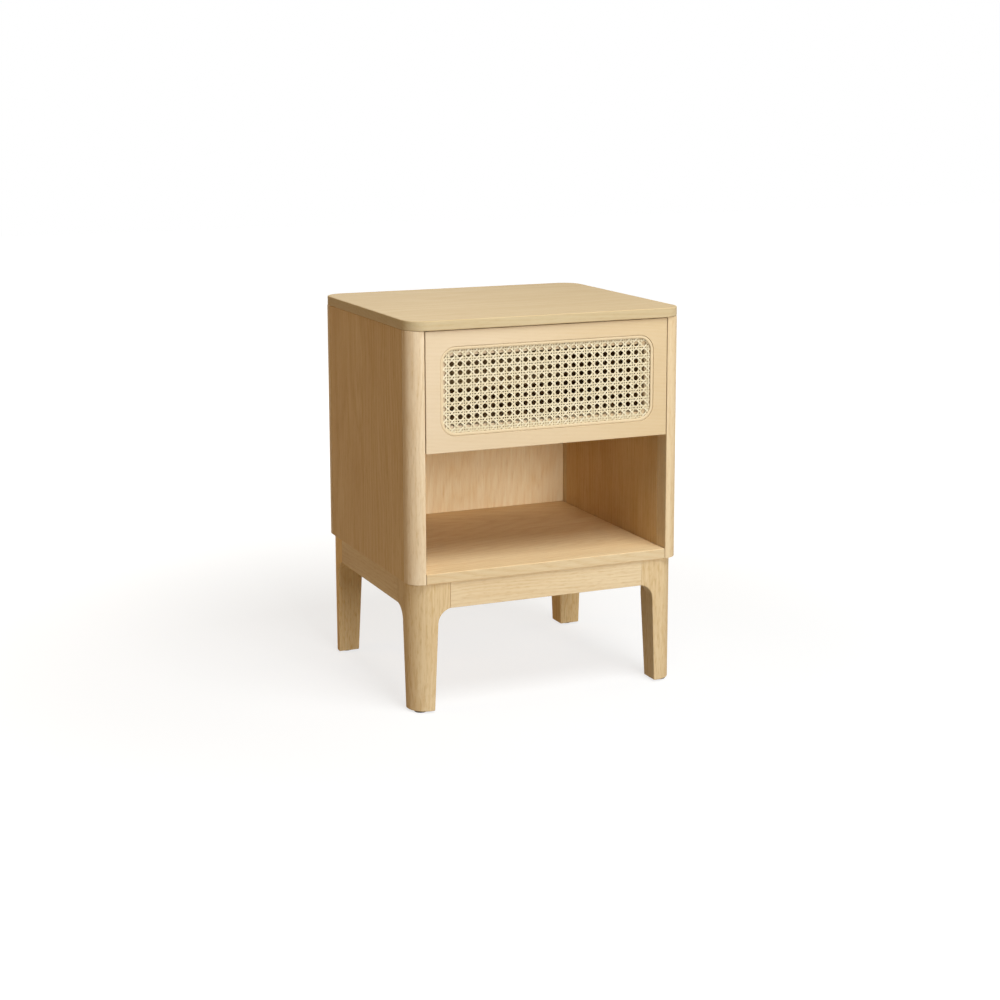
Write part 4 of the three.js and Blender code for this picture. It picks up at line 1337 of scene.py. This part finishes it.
@dataclass
class Fittings:
    """The runners and the screws.

    Attributes:
        steel: thickness of the runners' steel.
        bend: outer radius of their bends.
        lip: rounding of the steel's edges.
        dome: height of a screw's head over its rim.
        head: height of the whole head.
    """

    steel: float = 1.2
    bend: float = 2.2
    lip: float = 0.5
    dome: float = 0.9
    head: float = 2.6

    def runners(self) -> None:
        """Each member: a rolled channel with rounded bends, its web against the wood it is screwed to."""
        radii = [self.bend, self.lip, self.lip, self.bend - self.steel]
        for side, sign in SIDES:
            for member, body, faces_in in (
                ("cabinet", "carcass", True),
                ("middle", f"{side}_runner_middle", True),
                ("drawer", "drawer", False),
            ):
                node = f"{side}_runner_{member}_member"
                low, high = box_mm(node)
                web_low = (sign < 0) == faces_in
                web, tip = (low[0], high[0]) if web_low else (high[0], low[0])
                inner = web + (self.steel if web_low else -self.steel)
                bottom, top = low[2], high[2]
                corners = [
                    (web, bottom), (tip, bottom), (tip, bottom + self.steel), (inner, bottom + self.steel),
                    (inner, top - self.steel), (tip, top - self.steel), (tip, top), (web, top),
                ]
                shape = outline(corners if web_low else corners[::-1], radii + radii[::-1])
                piece = build(f"{node}_steel", slab(shape, Across.Y, low[1], high[1], 0.1))
                settle(piece, ZINC.material(node, Grain.Y), body, "zinc_steel", node)

    def screws(self) -> None:
        """Pan-head screws that point up, their cross slots facing the floor."""
        rim = self.head - self.dome
        for node in (f"{corner}_{kind}_screw" for corner, _, _ in CORNERS for kind in ("top", "base")):
            low, high = box_mm(node)
            part = cross_head((high[0] - low[0]) / 2, self.dome, rim, high[2] - low[2] - self.head, 2.1)
            part.points *= [1, -1, -1]
            part.points += [*((low + high) / 2)[:2], low[2] + self.dome]
            piece = build(f"{node}_zinc", part)
            settle(piece, ZINC.material(node, Grain.Z), "carcass", "zinc_steel", node)

    def back_screws(self) -> None:
        """Three small screws through the back panel into the rear rail."""
        back = box_mm("back_panel")[1][1]
        level = sum(box_mm("top_rear_rail"))[2] / 2
        parts = []
        for x in (-150.0, 0.0, 150.0):
            part = cross_head(3.5, 0.8, 0.9, 12.0, 1.4)
            part.points = part.points[:, [0, 2, 1]] + [x, back + 0.9, level]
            parts.append(part)
        piece = build("back_panel_screws", joined(parts))
        settle(piece, ZINC.material("back_panel_screws", Grain.Y), "carcass", "zinc_steel")

    def build(self) -> None:
        """Makes the runners and the screws."""
        self.runners()
        self.screws()
        self.back_screws()


# ---- studio


@dataclass(frozen=True)
class Lamp:
    """A soft box that faces the object.

    Attributes:
        name: what it is called.
        azimuth: degrees right of the front.
        elevation: degrees above the floor.
        distance: metres from the object's middle.
        size: its width and height, in metres.
        watts: its power.
        colour: its colour.
    """

    name: str
    azimuth: float
    elevation: float
    distance: float
    size: tuple[float, float]
    watts: float
    colour: str

    def make(self) -> None:
        """Puts the lamp in its place."""
        data = bpy.data.lights.new(self.name, "AREA")
        data.shape = "RECTANGLE"
        data.size, data.size_y = self.size
        data.energy = self.watts
        data.color = linear(self.colour)[:3]
        lamp = bpy.data.objects.new(self.name, data)
        turn, rise = math.radians(self.azimuth), math.radians(self.elevation)
        away = np.array([math.sin(turn) * math.cos(rise), -math.cos(turn) * math.cos(rise), math.sin(rise)])
        lamp.location = (np.array(LIT) + self.distance * away).tolist()
        lamp.rotation_euler = (math.pi / 2 - rise, 0.0, turn)
        bpy.context.scene.collection.objects.link(lamp)


@dataclass
class Studio:
    """A plain white floor, soft light from the front right and from above, and the camera.

    Attributes:
        eye: the camera's place.
        yaw: its turn from the front view, in degrees.
        pitch: how far it looks down.
        roll: its tilt.
        lens: focal length for a 36 mm sensor.
        rise: its vertical shift, in frame widths.
        floor: half the floor's width.
    """

    eye: tuple[float, float, float] = (-1208.0, -2804.5, 954.3)
    yaw: float = 23.36
    pitch: float = 9.58
    roll: float = -0.12
    lens: float = 69.36
    rise: float = -0.1
    floor: float = 9000.0

    def camera(self) -> None:
        """The camera."""
        data = bpy.data.cameras.new("camera")
        data.sensor_width = 36.0
        data.lens = self.lens
        data.shift_y = self.rise
        data.clip_end = 100.0
        camera = bpy.data.objects.new("camera", data)
        place = Matrix.Translation([v * MM for v in self.eye])
        for degrees, axis in ((-self.yaw, "Z"), (90 - self.pitch, "X"), (self.roll, "Z")):
            place = place @ Matrix.Rotation(math.radians(degrees), 4, axis)
        camera.matrix_world = place
        bpy.context.scene.collection.objects.link(camera)
        bpy.context.scene.camera = camera

    def seen(self, tree: bpy.types.NodeTree) -> bpy.types.Node:
        """Whether a ray comes from the camera, a gloss or a glass."""
        path = add(tree, "LightPath").outputs
        straight = add(tree, "Math:MAXIMUM", (path["Is Camera Ray"], path["Is Glossy Ray"]))
        return add(tree, "Math:MAXIMUM", (straight, path["Is Transmission Ray"]))

    def ground(self) -> None:
        """The floor: matt white, lifted to paper white where the camera or a gloss sees it unshaded."""
        mesh = bpy.data.meshes.new("floor")
        half = self.floor * MM
        corners = [(-half, -half, 0), (half, -half, 0), (half, half, 0), (-half, half, 0)]
        mesh.from_pydata(corners, [], [(0, 1, 2, 3)])
        floor = bpy.data.objects.new("floor", mesh)
        bpy.context.scene.collection.objects.link(floor)
        material, tree = blank("white_floor")
        seen = self.seen(tree)
        # Light bounces off it as off white paper; the camera sees the shadows lightened.
        tone = add(tree, "Mix", {0: seen, 6: linear("b9b0a3"), 7: linear("949494")}, data_type="RGBA")
        matt = add(tree, "BsdfDiffuse", (tone.outputs[2],))
        # Dimmer near the object, so that its shadow shows; all white from 1.6 m away.
        away = add(tree, "VectorMath:LENGTH", (add(tree, "TexCoord").outputs["Object"],)).outputs["Value"]
        glow = add(tree, "MapRange", (away, 0.45, 1.6, 0.74, 1.0), interpolation_type="SMOOTHSTEP")
        shine = add(tree, "Emission", {"Strength": add(tree, "Math:MULTIPLY", (seen, glow))})
        add(tree, "OutputMaterial", {"Surface": add(tree, "AddShader", (matt, shine))})
        mesh.materials.append(material)

    def world(self) -> None:
        """The room: white to the camera and in reflections, a dim warm grey as light."""
        world = bpy.data.worlds.new("studio")
        world.use_nodes = True
        bpy.context.scene.world = world
        tree = world.node_tree
        tree.nodes.clear()
        room = add(tree, "Background", (linear("ffdaa4"), 0.05))
        paper = add(tree, "Background", (linear("ffffff"), 1.0))
        add(tree, "OutputWorld", {"Surface": add(tree, "MixShader", (self.seen(tree), room, paper))})

    def build(self) -> None:
        """Sets up the camera, the floor, the room and the lamps."""
        self.camera()
        self.ground()
        self.world()
        Lamp("front_softbox", 3.0, 13.2, 4.0, (1.55, 1.3), 93.0, "fafcff").make()
        Lamp("raised_softbox", 12.0, 62.0, 3.0, (1.8, 1.5), 74.0, "f8fdff").make()
        Lamp("left_fill", -110.0, 22.0, 3.5, (2.2, 2.2), 19.0, "ffc866").make()
        Lamp("right_fill", 100.0, 20.0, 3.5, (2.2, 2.2), 14.0, "ffeccf").make()
        Lamp("back_fill", 176.0, 18.0, 3.5, (2.2, 2.2), 18.0, "fff4e2").make()
        bpy.context.scene.view_settings.view_transform = "Standard"


def main() -> None:
    """Builds the studio and the nightstand."""
    logging.basicConfig(level=logging.INFO, format="%(name)s: %(message)s")
    for assembly in (Studio(), Carcass(), Base(), Drawer(), Fittings()):
        assembly.build()


if __name__ == "__main__":
    main()
